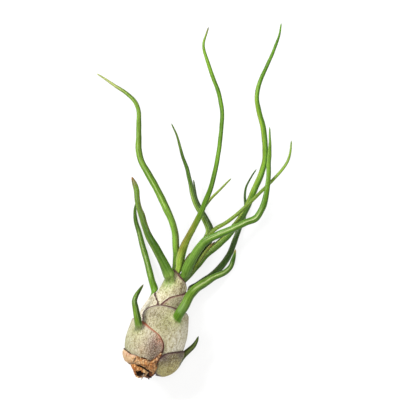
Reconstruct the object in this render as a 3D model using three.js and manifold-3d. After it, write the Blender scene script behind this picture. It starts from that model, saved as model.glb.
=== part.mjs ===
import * as THREE from "three";
import * as BufferGeometryUtils from "three/addons/utils/BufferGeometryUtils.js";
import Module from "manifold-3d";

// A bare air plant lying on its side. Every size is in millimetres.
// X is to the right, Y runs from the bulb to the leaf tips, Z is up from the surface it lies on.
// The origin is the small flat spot under the belly of the bulb.

// The bulb: a straight axis from the cut foot to the neck, tipped so that the neck is the lower end.
const BULB_FOOT = new THREE.Vector3(-6.1, -18.3, 17.2);
const BULB_NECK = new THREE.Vector3(9.4, 29.6, 10.7);
const SHEATH_THICKNESS = 0.85;
const SHEATH_GAP = 0.45;
const SHEATH_PITCH = SHEATH_THICKNESS + SHEATH_GAP;
const DRY_THICKNESS = 0.75;

// The outside of the innermost sheath: distance along the axis, radius.
const CORE_PROFILE = [
  [4.3, 3.3], [4.9, 5.0], [6.0, 6.8], [7.8, 8.4], [10.4, 9.7], [13.8, 10.4], [18, 10.5], [23, 10.3],
  [27, 9.9], [30, 9.3], [33, 8.4], [36, 7.4], [39, 6.65], [43, 6.0], [47, 5.7], [53, 5.6],
];

// How far the rings of the bulb sit to the right of its axis: distance along the axis, shift.
const SIDE_SHIFT = [[-4, 0.6], [10, 0.6], [20, 0.6], [30, -0.2], [37, 0.0], [41, 0.4], [45, 0.65], [54, 0.65]];

// Mesh density.
const SHEATH_COLUMNS = 24;
const BLADE_COLUMNS = 8;
const RINGS_PER_SPAN = 1.2;
const FLARE_RINGS = 3;
const SHEATH_RINGS = 10;
const INNER_RINGS = 9;

// The groove along the upper face of every blade.
const GROOVE_DEPTH = 0.22;
const GROOVE_WIDTH = 0.55;

const COLOURS = { sheath: 0xcfcab0, blade: 0x6f9a4a, dry: 0xb98a58, stem: 0x5a4634 };

// The six leaves whose hollow sheaths make the bulb.
// outline: the margin of the sheath, angle round the bulb in degrees and distance along the axis.
// blade: x, y, z and half width down the middle of the blade, from the sheath to the tip.
const SHEATHED_LEAVES = [
  {
    name: "leaf_neck_front",
    layer: 0,
    root: [-42, 45.8],
    rootRadius: 2.6,
    depth: 0.86,
    outline: [
      [-42, 50.4], [-20, 50.4], [-4, 49.5], [15, 48.2], [35, 47.2], [58, 46.4], [90, 45.2], [130, 43.4],
      [164, 41], [176, 36], [177.5, 28], [177.5, 14], [175, 7.5], [150, 5.1], [60, 4.9], [-60, 4.9],
      [-150, 5.1], [-175, 7.5], [-177.5, 14], [-177.5, 28], [-176, 38], [-168, 41.5], [-140, 44],
      [-110, 46.8], [-85, 48.8], [-62, 50.2],
    ],
    bumps: [{ at: [28, 48], spread: [34, 5], height: 0.7 }],
    blade: [
      [5, 28.6, 17.8, 2.8], [3.4, 32.4, 18.8, 2.45], [1.1, 37.4, 20.4, 2.2], [-1.9, 42.7, 21.6, 2],
      [-5, 48.1, 22.2, 1.88], [-7.4, 53.6, 22.4, 1.75], [-9, 58.6, 22, 1.55], [-9.6, 63, 21.4, 1.45],
      [-10, 68, 20.4, 1.4], [-10.8, 70.7, 19.8, 1.3], [-12.2, 74.3, 19, 0.42],
    ],
  },
  {
    name: "leaf_left_low",
    layer: 1,
    root: [-92, 34.2],
    rootRadius: 2.3,
    depth: 0.88,
    outline: [
      [-95, 38.9], [-68, 37.5], [-43, 35.3], [-26, 32.8], [-26, 27], [-26, 15], [-30, 8.4], [-46, 4.8],
      [-100, 3.8], [-150, 4.0], [-168, 7.4], [-170, 18], [-168, 28], [-155, 33.5], [-130, 36.6],
      [-110, 38.2],
    ],
    bumps: [],
    blade: [
      [-1.7, 21.6, 8.2, 2], [-3.1, 26.5, 7.6, 1.95], [-5.3, 34.7, 5.2, 1.8], [-7.3, 41.8, 2.7, 1.65],
      [-9.2, 48.6, 1.29, 1.4], [-10.7, 54, 1.7, 1.15], [-11, 58.3, 3, 0.85], [-10.3, 63, 4.4, 0.36],
    ],
  },
  {
    name: "leaf_right_low",
    layer: 1,
    root: [104, 38.6],
    rootRadius: 2.2,
    depth: 0.88,
    outline: [
      [105, 43.1], [128, 41.8], [145, 38.5], [160, 34], [166, 28], [166, 18], [163, 7.4], [150, 4.0],
      [110, 3.8], [50, 3.8], [-6, 4.1], [-18, 7], [-21, 14], [-21, 26], [-20, 32.2], [-13, 35.2],
      [0, 37.6], [22, 39.5], [45, 41], [66, 42.5], [86, 43.1],
    ],
    bumps: [],
    blade: [
      [15.6, 21.6, 9.2, 1.9], [21.6, 25.4, 7.2, 2], [26.8, 29.1, 5.3, 1.95], [31, 33.8, 3.7, 1.8],
      [34.2, 38.8, 2.5, 1.6], [36.2, 44.2, 1.75, 1.48], [38.3, 49.6, 1.26, 1.34], [40.4, 55, 1.5, 1.15],
      [41.3, 59.7, 2.4, 0.9], [40.9, 64.9, 3.6, 0.66], [41.6, 69.8, 4.8, 0.55], [43.7, 74, 5.8, 0.44],
      [46.3, 77.9, 6.6, 0.34],
    ],
  },
  {
    name: "leaf_right_finger",
    layer: 2,
    root: [30, 28.2],
    rootRadius: 2.9,
    depth: 0.92,
    outline: [
      [37, 33.3], [60, 33.2], [90, 33], [120, 31.5], [150, 28.5], [170, 24], [176, 17], [176, 10],
      [170, 4.9], [150, 2.7], [100, 2.5], [50, 2.5], [0, 2.5], [-28, 3.2], [-40, 6.4], [-46, 12], [-47, 19],
      [-50, 23.8], [-55.6, 26.8], [-47, 29.3], [-35, 31], [-23, 32.2], [-8, 33], [5.6, 33.2], [20, 33.3],
    ],
    bumps: [{ at: [66, 25], spread: [42, 7], height: 0.3 }],
    blade: [
      [10.3, 10.7, 25.5, 2.3], [12.9, 14.6, 25.2, 2.3], [15.1, 19, 23.8, 2.2], [17.6, 21.8, 22.2, 2.12],
      [22.4, 24.9, 19.8, 1.9],
      [27.3, 27.7, 17.2, 1.5], [31.5, 29.6, 15.4, 1.35], [34.1, 32, 14, 1.25], [35.4, 35.4, 13, 1.05],
      [36.5, 40.2, 12, 0.4],
    ],
  },
  {
    name: "leaf_front_pouch",
    layer: 3,
    root: [-43, 17.8],
    rootRadius: 2.6,
    depth: 0.9,
    outline: [
      [-43, 22.5], [-38.5, 22.2], [-26, 21.1], [-14.4, 19.9], [0, 18.5], [7.5, 17.1], [14, 15.3], [17, 13.4],
      [18.6, 11.1], [16.9, 9.2], [12.5, 7.4], [7, 5.2], [0, 3.4], [-10, 2.2], [-22, 1.4], [-40, 0.8],
      [-80, 0.8], [-120, 0.8],
      [-160, 0.8], [-190, 1.6], [-202, 5], [-206, 12], [-205, 20], [-196, 25.5], [-180, 28], [-155, 27.5],
      [-130, 25.8], [-105, 24.2], [-70, 23.1],
    ],
    bumps: [
      { at: [-52, 15], spread: [46, 6.5], height: 0.6 },
      { at: [-180, 17], spread: [40, 8], height: 0.8 },
    ],
    blade: [
      [-8.9, 5.4, 27.8, 1.9], [-9.6, 9.3, 28.4, 1.7], [-10.4, 13.2, 28.2, 1.52], [-10.8, 16.2, 27.8, 1.36],
      [-9.9, 18.9, 27.2, 1.15], [-8.4, 21.4, 26.6, 0.85], [-6.7, 24, 26, 0.36],
    ],
  },
  {
    name: "leaf_right_pouch",
    layer: 3,
    root: [86, 10.8],
    rootRadius: 2.3,
    depth: 0.9,
    outline: [
      [84, 16], [95, 16.3], [120, 16], [138, 14.5], [146, 11], [147, 6], [143, 2.4], [130, 1],
      [90, 0.8], [55, 0.9], [34, 1.1], [24, 1.9], [17, 3.6], [12.5, 5.5], [14.8, 7.1], [18.6, 8.7],
      [21.2, 10.1], [29, 11.5], [44, 13.3], [62, 14.8],
    ],
    bumps: [{ at: [90, 5.5], spread: [40, 5.5], height: 0.8 }],
    blade: [
      [12.9, -8.6, 14.6, 1.55], [14.9, -6.8, 14.2, 1.45], [16.8, -5, 13.8, 1.25], [18.2, -2.7, 13.6, 0.85],
      [19, -0.6, 13.5, 0.36],
    ],
  },
];

// The ten leaves that rise from the top of the stem through the neck.
// neck: where the leaf passes the neck, to the right of its axis and towards the top.
const INNER_LEAVES = [
  {
    name: "leaf_front_long",
    neck: [1.4, 2.25, 1.5],
    depth: 0.74,
    blade: [
      [12.7, 28.4, 14.5, 2.2], [13.9, 31.6, 16.8, 2.6], [16, 35.7, 18.6, 2.3], [18.9, 40.4, 20.2, 2.07],
      [23, 44.7, 21.6, 2.05], [28.2, 47.2, 22.6, 1.9], [34.8, 49.9, 23.4, 1.75], [41.4, 53.1, 23.6, 1.72],
      [46.1, 55.2, 23.4, 1.77], [48.9, 59.7, 22.8, 1.68], [50.6, 65.3, 22, 1.5], [51.7, 72.9, 21.2, 1.25],
      [51.9, 79.9, 20.6, 1.2], [52.4, 86, 20.2, 1.02], [52.5, 91.7, 19.8, 0.62], [52.4, 97.5, 19.4, 0.34],
    ],
  },
  {
    name: "leaf_tall_middle",
    neck: [-1.7, 2.0, 1.3],
    depth: 0.88,
    blade: [
      [9.6, 31.5, 14, 1.45], [10.3, 36, 15.2, 1.8], [11.4, 40.4, 16.6, 1.75], [14.8, 46.9, 18.8, 1.6],
      [18.3, 53.6, 20.6, 1.5], [21.4, 60.6, 22.4, 1.36], [24.3, 67.9, 23.8, 1.26], [26.9, 77.6, 25, 1.15],
      [28.8, 88.8, 25.2, 1.08], [30.1, 102, 24.4, 1.05], [29.2, 110.9, 23.2, 1.05],
      [25.9, 120.6, 21.6, 0.98], [22.8, 129.7, 20, 0.84], [21.5, 136.3, 18.8, 0.66],
      [23.7, 144.5, 17.6, 0.34],
    ],
  },
  {
    name: "leaf_long_left",
    neck: [-3.15, -0.6, 1.25],
    depth: 0.88,
    blade: [
      [7.9, 31.5, 10, 1.45], [8.5, 37.1, 10.8, 1.75], [8.4, 43.2, 12, 1.85], [7.8, 48.9, 13.2, 1.8],
      [6.1, 54.5, 15, 1.8], [3.3, 60.8, 16.8, 1.9], [-0.2, 67.9, 18.4, 1.85], [-4.2, 75.2, 19.4, 1.78],
      [-7.6, 81.3, 19.6, 1.72], [-9, 87, 19, 1.65], [-9, 93.5, 17.6, 1.42], [-9, 100.1, 15.6, 1.26],
      [-9.1, 105.3, 13.8, 1.16], [-10.9, 109.7, 12, 1.1], [-15.3, 114.1, 10, 1], [-20.2, 117.2, 8.4, 0.85],
      [-25.3, 120.8, 6.8, 0.58], [-29, 123.1, 5.8, 0.34],
    ],
  },
  {
    name: "leaf_long_right",
    neck: [3.15, -1.25, 1.15],
    depth: 0.9,
    blade: [
      [14.4, 27.6, 9.4, 1.4], [18.3, 32.4, 9.2, 1.75], [22.1, 37.1, 9.2, 1.75], [27.3, 41.6, 9.4, 1.8],
      [32.4, 46.3, 9.8, 1.8], [37.1, 52.2, 10.6, 1.8], [40.7, 57.8, 11.4, 1.75], [43.5, 63.9, 12.2, 1.68],
      [46.1, 70, 13, 1.65], [48.6, 75.9, 13.8, 1.58], [50.3, 82.3, 14.8, 1.5], [50.3, 88.4, 15.6, 1.5],
      [49.3, 97.8, 16.6, 1.45], [47.2, 106, 17.2, 1.3], [46.4, 111.6, 17.2, 1.2], [47.6, 118, 16.8, 1.12],
      [51.1, 126.2, 15.8, 0.98], [55.4, 136.3, 14.6, 0.78], [57.2, 141.6, 14, 0.55],
      [57.9, 146.5, 13.6, 0.34],
    ],
  },
  {
    name: "leaf_thin_right",
    neck: [1.0, -0.2, 0.8],
    depth: 0.9,
    blade: [
      [13.5, 30.2, 11.2, 0.85], [16.5, 36.7, 12.9, 1.1], [21.2, 44.2, 14, 1.12], [26.3, 49.4, 14.6, 1.08],
      [32, 52.9, 15.2, 1.02], [38.5, 57.9, 15.8, 0.98], [45, 64, 16.6, 0.9], [49.4, 68.4, 17.2, 0.86],
      [54.1, 73.1, 17.8, 0.82], [58.3, 77.8, 18.2, 0.76], [60.9, 81.8, 18.2, 0.68],
      [62.2, 86.5, 17.8, 0.55], [62.6, 91.2, 17.2, 0.34],
    ],
  },
  {
    name: "leaf_thin_middle",
    neck: [-1.8, -2.4, 0.68],
    depth: 0.9,
    blade: [
      [10.5, 31.2, 8.2, 0.8], [12.5, 39, 9, 0.9], [15.3, 47.9, 10.4, 0.88], [19.3, 55.9, 11.6, 0.82],
      [23.5, 62.5, 12, 0.75], [28.2, 67.4, 11.8, 0.6], [31.8, 71, 11.4, 0.48], [34.4, 73.6, 11, 0.34],
    ],
  },
  {
    name: "leaf_back_middle",
    neck: [0.2, -2.3, 1.0],
    depth: 0.9,
    blade: [
      [13.2, 30.0, 6.8, 1.2], [16.0, 34.5, 5.6, 1.45], [19.7, 40.6, 5, 1.6], [22.8, 45.6, 5.2, 1.5],
      [23.6, 48.9, 5.6, 1.3], [22.3, 53.1, 6.2, 1.22], [20, 57.6, 6.8, 1.25], [17.7, 61.7, 7.4, 1.25],
      [16.2, 67, 8.2, 1.16], [14.9, 72.9, 9.2, 1.06], [13.5, 78.3, 10, 0.94], [11.7, 83.9, 10.6, 0.78],
      [10.2, 88.8, 11, 0.66], [8.7, 94.2, 11.2, 0.49], [6.3, 99.4, 11.2, 0.32],
    ],
  },
  {
    name: "leaf_back_low",
    neck: [2, -3.3, 0.7],
    depth: 0.9,
    blade: [
      [15.2, 29.2, 5, 0.85], [18.8, 34.5, 3.3, 1.05], [22.5, 40.4, 2.4, 1.12], [25.1, 45.6, 2.2, 1.14],
      [25, 50.3, 2.4, 1.1], [22.7, 55, 2.8, 1], [20, 59.5, 3.3, 0.88], [18.1, 63.9, 3.9, 0.72],
      [17.3, 68.4, 4.6, 0.5], [16.7, 72.9, 5.2, 0.34],
    ],
  },
  {
    name: "leaf_short_middle",
    neck: [-0.9, -0.3, 0.68],
    depth: 0.85,
    blade: [[11, 31, 10.6, 0.7], [12.5, 33.4, 11.7, 0.8], [13.8, 36, 12.7, 0.8], [15.3, 38.6, 13.6, 0.42]],
  },
  {
    name: "leaf_withered",
    neck: [3.5, 0.95, 0.58],
    depth: 0.8,
    blade: [
      [15.9, 29.6, 12.3, 0.8], [19.3, 34.3, 13, 0.92], [21.6, 38.1, 13.2, 0.9], [24.4, 41.6, 13.8, 0.68],
      [26.8, 43.8, 14, 0.36],
    ],
  },
];

// The dry brown remains of the two oldest sheaths.
const DRY_SHEATHS = [
  {
    name: "dry_sheath_left",
    layer: 4,
    root: [-104, 5],
    outline: [
      [-110, 8.2], [-84, 8.3], [-62, 7.2], [-46, 6.1], [-29, 5.8], [-25, 4.2], [-33, 2.6], [-46, 1.9],
      [-70, 2.1], [-100, 2.0], [-130, 2.0], [-156, 2.2], [-170, 3.2], [-174, 5.2], [-165, 7.2],
      [-140, 8],
    ],
  },
  {
    name: "dry_sheath_front",
    layer: 4.85,
    root: [-2, 2.4],
    outline: [
      [-14, 5.7], [-2, 5.4], [6, 6.8], [11, 8.9], [14.6, 10.8], [17, 9.2], [18.5, 6], [20.5, 3], [25, 0.6],
      [22, -0.6], [8, -0.9], [-20, -0.9], [-50, -0.9], [-70, -0.7], [-73, 0.1], [-62, 0.9], [-47, 1.7],
      [-38, 2.7], [-34, 3.8], [-30, 4.9], [-23, 5.7],
    ],
  },
];

// The stem: distance along the axis, radius, and two dead root stubs at its foot.
const STEM_PROFILE = [
  [-1.2, 1.6], [-0.8, 2.3], [0.6, 3.4], [2.4, 4.35], [4.8, 4.1], [6.6, 3.6], [8.6, 2.6], [9.3, 1.4],
];
const STEM_COLUMNS = 12;
const ROOT_STUBS = [
  [[-1.0, 0.8, -0.8, 0.55], [-0.9, 1.1, -1.4, 0.46], [-0.7, 1.3, -2.0, 0.38], [-0.4, 1.3, -2.6, 0.32]],
  [[1.0, 0.4, -0.8, 0.7], [1.5, 0.9, -2.0, 0.6], [2.1, 1.2, -2.7, 0.42]],
];
const INNER_LEAF_FOOT = 10.2;

const axis = BULB_NECK.clone().sub(BULB_FOOT).normalize();
const right = axis.clone().cross(new THREE.Vector3(0, 0, 1)).normalize();
const front = right.clone().cross(axis).normalize();
const coreCurve = new THREE.CatmullRomCurve3(CORE_PROFILE.map(([s, r]) => new THREE.Vector3(s, r, 0)));

function lerpTable(table, x) {
  if (x <= table[0][0]) {
    return table[0][1];
  }
  for (let i = 1; i < table.length; i += 1) {
    if (x <= table[i][0]) {
      const f = (x - table[i - 1][0]) / (table[i][0] - table[i - 1][0]);
      const ease = f * f * (3 - 2 * f);
      return table[i - 1][1] + ease * (table[i][1] - table[i - 1][1]);
    }
  }
  return table[table.length - 1][1];
}

// A point of the bulb: distance along its axis, radius and angle round it (0 is the top).
function bulbPoint(s, r, degrees) {
  const a = THREE.MathUtils.degToRad(degrees);
  return BULB_FOOT.clone()
    .addScaledVector(axis, s)
    .addScaledVector(right, r * Math.sin(a) + lerpTable(SIDE_SHIFT, s))
    .addScaledVector(front, r * Math.cos(a));
}

// The profile of a surface that runs a given height outside the innermost sheath.
function profileAt(q, height) {
  const p = coreCurve.getPointAt(THREE.MathUtils.clamp(q, 0, 1));
  const t = coreCurve.getTangentAt(THREE.MathUtils.clamp(q, 0, 1));
  return [p.x - t.y * height, p.y + t.x * height];
}

// The place along the profile where that surface reaches a distance along the axis.
function placeAt(s, height) {
  let low = 0;
  let high = 1;
  for (let i = 0; i < 30; i += 1) {
    const middle = (low + high) / 2;
    if (profileAt(middle, height)[0] < s) {
      low = middle;
    } else {
      high = middle;
    }
  }
  return (low + high) / 2;
}

function bumpHeight(bumps, degrees, s) {
  let total = 0;
  for (const bump of bumps) {
    const a = (degrees - bump.at[0]) / bump.spread[0];
    const b = (s - bump.at[1]) / bump.spread[1];
    total += bump.height * Math.exp(-a * a - b * b);
  }
  return total;
}

function sheathPoint(spec, degrees, q, depth) {
  const height = spec.layer * SHEATH_PITCH;
  const s = profileAt(q, height)[0];
  const [along, radius] = profileAt(q, height - depth + bumpHeight(spec.bumps ?? [], degrees, s));
  return bulbPoint(along, radius, degrees);
}

// Spreads columns round the margin of a sheath, evenly in direction and in length.
function marginColumns(spec, count) {
  const height = spec.layer * SHEATH_PITCH;
  const root = new THREE.Vector2(spec.root[0], placeAt(spec.root[1], height));
  const corners = spec.outline.map(([a, s]) => new THREE.Vector3(a / 60, placeAt(s, height) * 4, 0));
  const curve = new THREE.CatmullRomCurve3(corners, true, "centripetal");
  const steps = 600;
  const points = [];
  const weights = [0];
  let turn = 0;
  let before = null;
  for (let i = 0; i <= steps; i += 1) {
    const p = curve.getPointAt(i / steps);
    const heading = Math.atan2(p.x - root.x / 60, p.y - root.y * 4);
    if (before !== null) {
      let step = heading - before;
      step -= Math.round(step / (2 * Math.PI)) * 2 * Math.PI;
      turn += step;
      weights.push(0.45 * turn / (2 * Math.PI) + 0.55 * i / steps);
    }
    before = heading;
    points.push([p.x * 60, p.y / 4]);
  }
  const columns = [];
  for (let j = 0; j < count; j += 1) {
    const target = j / count;
    let k = 1;
    while (k < steps && weights[k] < target) {
      k += 1;
    }
    const f = (target - weights[k - 1]) / Math.max(1e-9, weights[k] - weights[k - 1]);
    const a = points[k - 1][0] + f * (points[k][0] - points[k - 1][0]);
    const q = points[k - 1][1] + f * (points[k][1] - points[k - 1][1]);
    columns.push({ a, q, heading: Math.atan2((a - root.x) / 60, (q - root.y) * 4) });
  }
  return { root, columns };
}

// Rings of a blade from its start to its tip. The frame is carried along without twist.
function bladeRings(points, depth, firstUp, columns, ringCount) {
  const curve = new THREE.CatmullRomCurve3(points.map((p) => new THREE.Vector3(p[0], p[1], p[2])));
  const widths = new THREE.CatmullRomCurve3(points.map((p) => new THREE.Vector3(p[3], 0, 0)));
  const rings = [];
  const up = firstUp.clone();
  for (let i = 0; i <= ringCount; i += 1) {
    const u = i / ringCount;
    const centre = curve.getPoint(u);
    const along = curve.getTangent(u);
    up.addScaledVector(along, -up.dot(along)).normalize();
    const side = up.clone().cross(along).normalize();
    const half = Math.max(0.3, widths.getPoint(u).x);
    const ring = [];
    for (let j = 0; j < columns; j += 1) {
      const a = (j / columns) * 2 * Math.PI;
      const turned = a > Math.PI ? a - 2 * Math.PI : a;
      const groove = 1 - GROOVE_DEPTH * Math.exp(-((turned / GROOVE_WIDTH) ** 2));
      const p = centre.clone();
      p.addScaledVector(up, half * depth * Math.cos(a) * groove);
      p.addScaledVector(side, half * Math.sin(a));
      ring.push(p);
    }
    rings.push({ centre, along, ring, half });
  }
  return rings;
}

// The triangles between two rings. The second ring has as many points as the first, or twice as many.
function bandIndex(index, a, b, ringA, ringB) {
  const countA = ringA.length;
  const countB = ringB.length;
  for (let j = 0; j < countA; j += 1) {
    const k = (j + 1) % countA;
    if (countA !== countB) {
      const middle = b + 2 * j + 1;
      index.push(a + j, b + 2 * j, middle, a + j, middle, a + k, a + k, middle, b + ((2 * j + 2) % countB));
    } else if (ringA[j].distanceTo(ringB[k]) < ringA[k].distanceTo(ringB[j])) {
      index.push(a + j, b + j, b + k, a + j, b + k, a + k);
    } else {
      index.push(a + j, b + j, a + k, b + j, b + k, a + k);
    }
  }
}

// Skins rings into one closed solid. Each end closes on a single point.
function skin(rings, start, end) {
  const positions = [start.x, start.y, start.z];
  const index = [];
  const starts = [];
  for (const ring of rings) {
    starts.push(positions.length / 3);
    for (const p of ring) {
      positions.push(p.x, p.y, p.z);
    }
  }
  const last = positions.length / 3;
  positions.push(end.x, end.y, end.z);
  const tail = rings.length - 1;
  for (let j = 0; j < rings[0].length; j += 1) {
    index.push(0, starts[0] + j, starts[0] + ((j + 1) % rings[0].length));
  }
  for (let i = 0; i < tail; i += 1) {
    bandIndex(index, starts[i], starts[i + 1], rings[i], rings[i + 1]);
  }
  for (let j = 0; j < rings[tail].length; j += 1) {
    index.push(starts[tail] + j, last, starts[tail] + ((j + 1) % rings[tail].length));
  }
  const geometry = new THREE.BufferGeometry();
  geometry.setAttribute("position", new THREE.Float32BufferAttribute(positions, 3));
  geometry.setIndex(index);
  return geometry;
}

function volumeOf(geometry) {
  const p = geometry.getAttribute("position");
  const index = geometry.getIndex();
  const a = new THREE.Vector3();
  const b = new THREE.Vector3();
  const c = new THREE.Vector3();
  let total = 0;
  for (let i = 0; i < index.count; i += 3) {
    a.fromBufferAttribute(p, index.getX(i));
    b.fromBufferAttribute(p, index.getX(i + 1));
    c.fromBufferAttribute(p, index.getX(i + 2));
    total += a.dot(b.cross(c)) / 6;
  }
  return total;
}

function facingOut(geometry) {
  if (volumeOf(geometry) < 0) {
    const index = geometry.getIndex();
    for (let i = 0; i < index.count; i += 3) {
      const keep = index.getX(i + 1);
      index.setX(i + 1, index.getX(i + 2));
      index.setX(i + 2, keep);
    }
  }
  return geometry;
}

function solidMesh(name, geometry, colour) {
  const closed = facingOut(geometry);
  closed.computeVertexNormals();
  const mesh = new THREE.Mesh(closed, new THREE.MeshStandardMaterial({ color: colour, roughness: 0.7 }));
  mesh.name = name;
  return mesh;
}

// The rings of a sheath from a first distance out of its root to the margin, then back inside.
function sheathRings(spec, margin, thickness, firstShare) {
  const at = (column, f, depth) => {
    const share = firstShare(column) + (1 - (1 - f) ** 1.3) * (1 - firstShare(column));
    const a = margin.root.x + share * (column.a - margin.root.x);
    const q = margin.root.y + share * (column.q - margin.root.y);
    return sheathPoint(spec, a, q, depth);
  };
  const rings = [];
  for (let i = 0; i <= SHEATH_RINGS; i += 1) {
    const f = i === SHEATH_RINGS ? 0.985 : i / SHEATH_RINGS;
    rings.push(margin.columns.map((column) => at(column, f, 0)));
  }
  rings.push(margin.columns.map((column) => at(column, 1, thickness / 2)));
  for (let i = INNER_RINGS; i >= 0; i -= 1) {
    const f = i === INNER_RINGS ? 0.985 : i / INNER_RINGS;
    rings.push(margin.columns.map((column) => at(column, f, thickness)));
  }
  return rings;
}

function sheathSpan(spec, margin, column) {
  const a = sheathPoint(spec, margin.root.x, margin.root.y, 0);
  const b = sheathPoint(spec, column.a, column.q, 0);
  return a.distanceTo(b);
}

// The smooth throat between the first ring of the blade and the sheath round its root.
function flareRings(bladeRing, along, sheathStart, sheathNext, count) {
  const rings = [];
  for (let i = 1; i < count + 1; i += 1) {
    const f = i / (count + 1);
    const h00 = 2 * f ** 3 - 3 * f ** 2 + 1;
    const h10 = f ** 3 - 2 * f ** 2 + f;
    const h01 = -2 * f ** 3 + 3 * f ** 2;
    const h11 = f ** 3 - f ** 2;
    rings.push(bladeRing.map((p, j) => {
      const reach = p.distanceTo(sheathStart[j]);
      const out = sheathNext[j].clone().sub(sheathStart[j]).normalize();
      return new THREE.Vector3()
        .addScaledVector(p, h00)
        .addScaledVector(along, -h10 * reach * 0.9)
        .addScaledVector(sheathStart[j], h01)
        .addScaledVector(out, h11 * reach * 0.9);
    }));
  }
  return rings;
}

function sheathedLeaf(spec) {
  const margin = marginColumns(spec, SHEATH_COLUMNS);
  const share = (column) => Math.min(0.5, spec.rootRadius / sheathSpan(spec, margin, column));
  const sheath = sheathRings(spec, margin, SHEATH_THICKNESS, share);
  const rootPoint = sheathPoint(spec, margin.root.x, margin.root.y, 0);
  const inside = sheathPoint(spec, margin.root.x, margin.root.y, SHEATH_THICKNESS);
  const outward = rootPoint.clone().sub(inside).normalize();
  const ringCount = Math.round((spec.blade.length - 1) * RINGS_PER_SPAN);
  const adaxial = outward.clone().negate();
  const blade = bladeRings(spec.blade, spec.depth, adaxial, SHEATH_COLUMNS / 2, ringCount);
  const throat = bladeRings(spec.blade, spec.depth, adaxial, SHEATH_COLUMNS, ringCount)[0];
  const flare = flareRings(throat.ring, throat.along, sheath[0], sheath[1], FLARE_RINGS);
  const last = blade[blade.length - 1];
  const tip = last.centre.clone().addScaledVector(last.along, last.half);
  const rings = blade.map((entry) => entry.ring).reverse();
  rings.push(...flare, ...sheath);
  return solidMesh(spec.name, skin(rings, tip, inside), COLOURS.sheath);
}

// The hidden lower part of an inner leaf, from the top of the stem to the neck.
function innerLeafPoints(spec) {
  const [u, v, half] = spec.neck;
  const lower = [[INNER_LEAF_FOOT, 0.5, 0.45], [20, 0.72, 0.62], [32, 0.9, 0.85], [40, 1, 0.98], [46.5, 1, 1]];
  const points = lower.map(([s, spread, size]) => {
    const radius = Math.hypot(u, v) * spread;
    const p = bulbPoint(s, radius, THREE.MathUtils.radToDeg(Math.atan2(u, v)));
    return [p.x, p.y, p.z, Math.max(0.34, half * size)];
  });
  return points.concat(spec.blade);
}

function innerLeaf(spec) {
  const points = innerLeafPoints(spec);
  const ringCount = Math.round((points.length - 1) * RINGS_PER_SPAN);
  const [u, v] = spec.neck;
  const inward = right.clone().multiplyScalar(-u).addScaledVector(front, -v).normalize();
  const blade = bladeRings(points, spec.depth, inward, BLADE_COLUMNS, ringCount);
  const first = blade[0];
  const last = blade[blade.length - 1];
  const foot = first.centre.clone().addScaledVector(first.along, -first.half * 0.5);
  const tip = last.centre.clone().addScaledVector(last.along, last.half);
  return solidMesh(spec.name, skin(blade.map((entry) => entry.ring), foot, tip), COLOURS.blade);
}

function drySheath(spec) {
  const margin = marginColumns(spec, SHEATH_COLUMNS);
  const rings = sheathRings(spec, margin, DRY_THICKNESS, () => 0.2);
  const outside = sheathPoint(spec, margin.root.x, margin.root.y, 0);
  const inside = sheathPoint(spec, margin.root.x, margin.root.y, DRY_THICKNESS);
  return solidMesh(spec.name, skin(rings, outside, inside), COLOURS.dry);
}

function stemGeometry() {
  const rings = STEM_PROFILE.map(([s, r]) => {
    const ring = [];
    for (let j = 0; j < STEM_COLUMNS; j += 1) {
      ring.push(bulbPoint(s, r, (j / STEM_COLUMNS) * 360));
    }
    return ring;
  });
  const foot = bulbPoint(STEM_PROFILE[0][0], 0, 0);
  const top = bulbPoint(STEM_PROFILE[STEM_PROFILE.length - 1][0] + 0.3, 0, 0);
  return facingOut(skin(rings, foot, top));
}

function stubGeometry(stub) {
  const points = stub.map(([u, v, s, half]) => {
    const p = bulbPoint(s, Math.hypot(u, v), THREE.MathUtils.radToDeg(Math.atan2(u, v)));
    return [p.x, p.y, p.z, half];
  });
  const rings = bladeRings(points, 1, front, 8, 5);
  const last = rings[rings.length - 1];
  const tip = last.centre.clone().addScaledVector(last.along, last.half * 0.5);
  return facingOut(skin(rings.map((entry) => entry.ring), rings[0].centre, tip));
}

const wasm = await Module();
wasm.setup();

function toManifold(geometry) {
  const plain = geometry.clone();
  plain.deleteAttribute("normal");
  plain.deleteAttribute("uv");
  const merged = BufferGeometryUtils.mergeVertices(plain, 1e-4);
  return new wasm.Manifold(new wasm.Mesh({
    numProp: 3,
    vertProperties: new Float32Array(merged.getAttribute("position").array),
    triVerts: new Uint32Array(merged.getIndex().array),
  }));
}

function fromManifold(solid) {
  const mesh = solid.getMesh();
  const geometry = new THREE.BufferGeometry();
  geometry.setAttribute("position", new THREE.Float32BufferAttribute(mesh.vertProperties, 3));
  geometry.setIndex(new THREE.Uint32BufferAttribute(mesh.triVerts, 1));
  return geometry;
}

function stem() {
  const stubs = ROOT_STUBS.map((stub) => toManifold(stubGeometry(stub)));
  const body = stubs.reduce((solid, stub) => solid.add(stub), toManifold(stemGeometry()));
  return solidMesh("stem", fromManifold(body), COLOURS.stem);
}

// The surface the plant lies on cuts a small flat spot into the belly.
function restOnSurface(mesh) {
  mesh.geometry.computeBoundingBox();
  if (mesh.geometry.boundingBox.min.z >= 0) {
    return mesh;
  }
  const trimmed = toManifold(mesh.geometry).trimByPlane([0, 0, 1], 0);
  return solidMesh(mesh.name, fromManifold(trimmed), mesh.material.color);
}

const group = new THREE.Group();
group.name = "air_plant";
group.add(stem());
for (const spec of DRY_SHEATHS) {
  group.add(restOnSurface(drySheath(spec)));
}
for (const spec of SHEATHED_LEAVES) {
  group.add(restOnSurface(sheathedLeaf(spec)));
}
for (const spec of INNER_LEAVES) {
  group.add(innerLeaf(spec));
}

export default group;
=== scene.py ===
"""A bare air plant lying on a pale surface. Sizes are in millimetres until a mesh is made."""

import math

import bpy
import numpy as np
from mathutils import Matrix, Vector, noise


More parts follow.
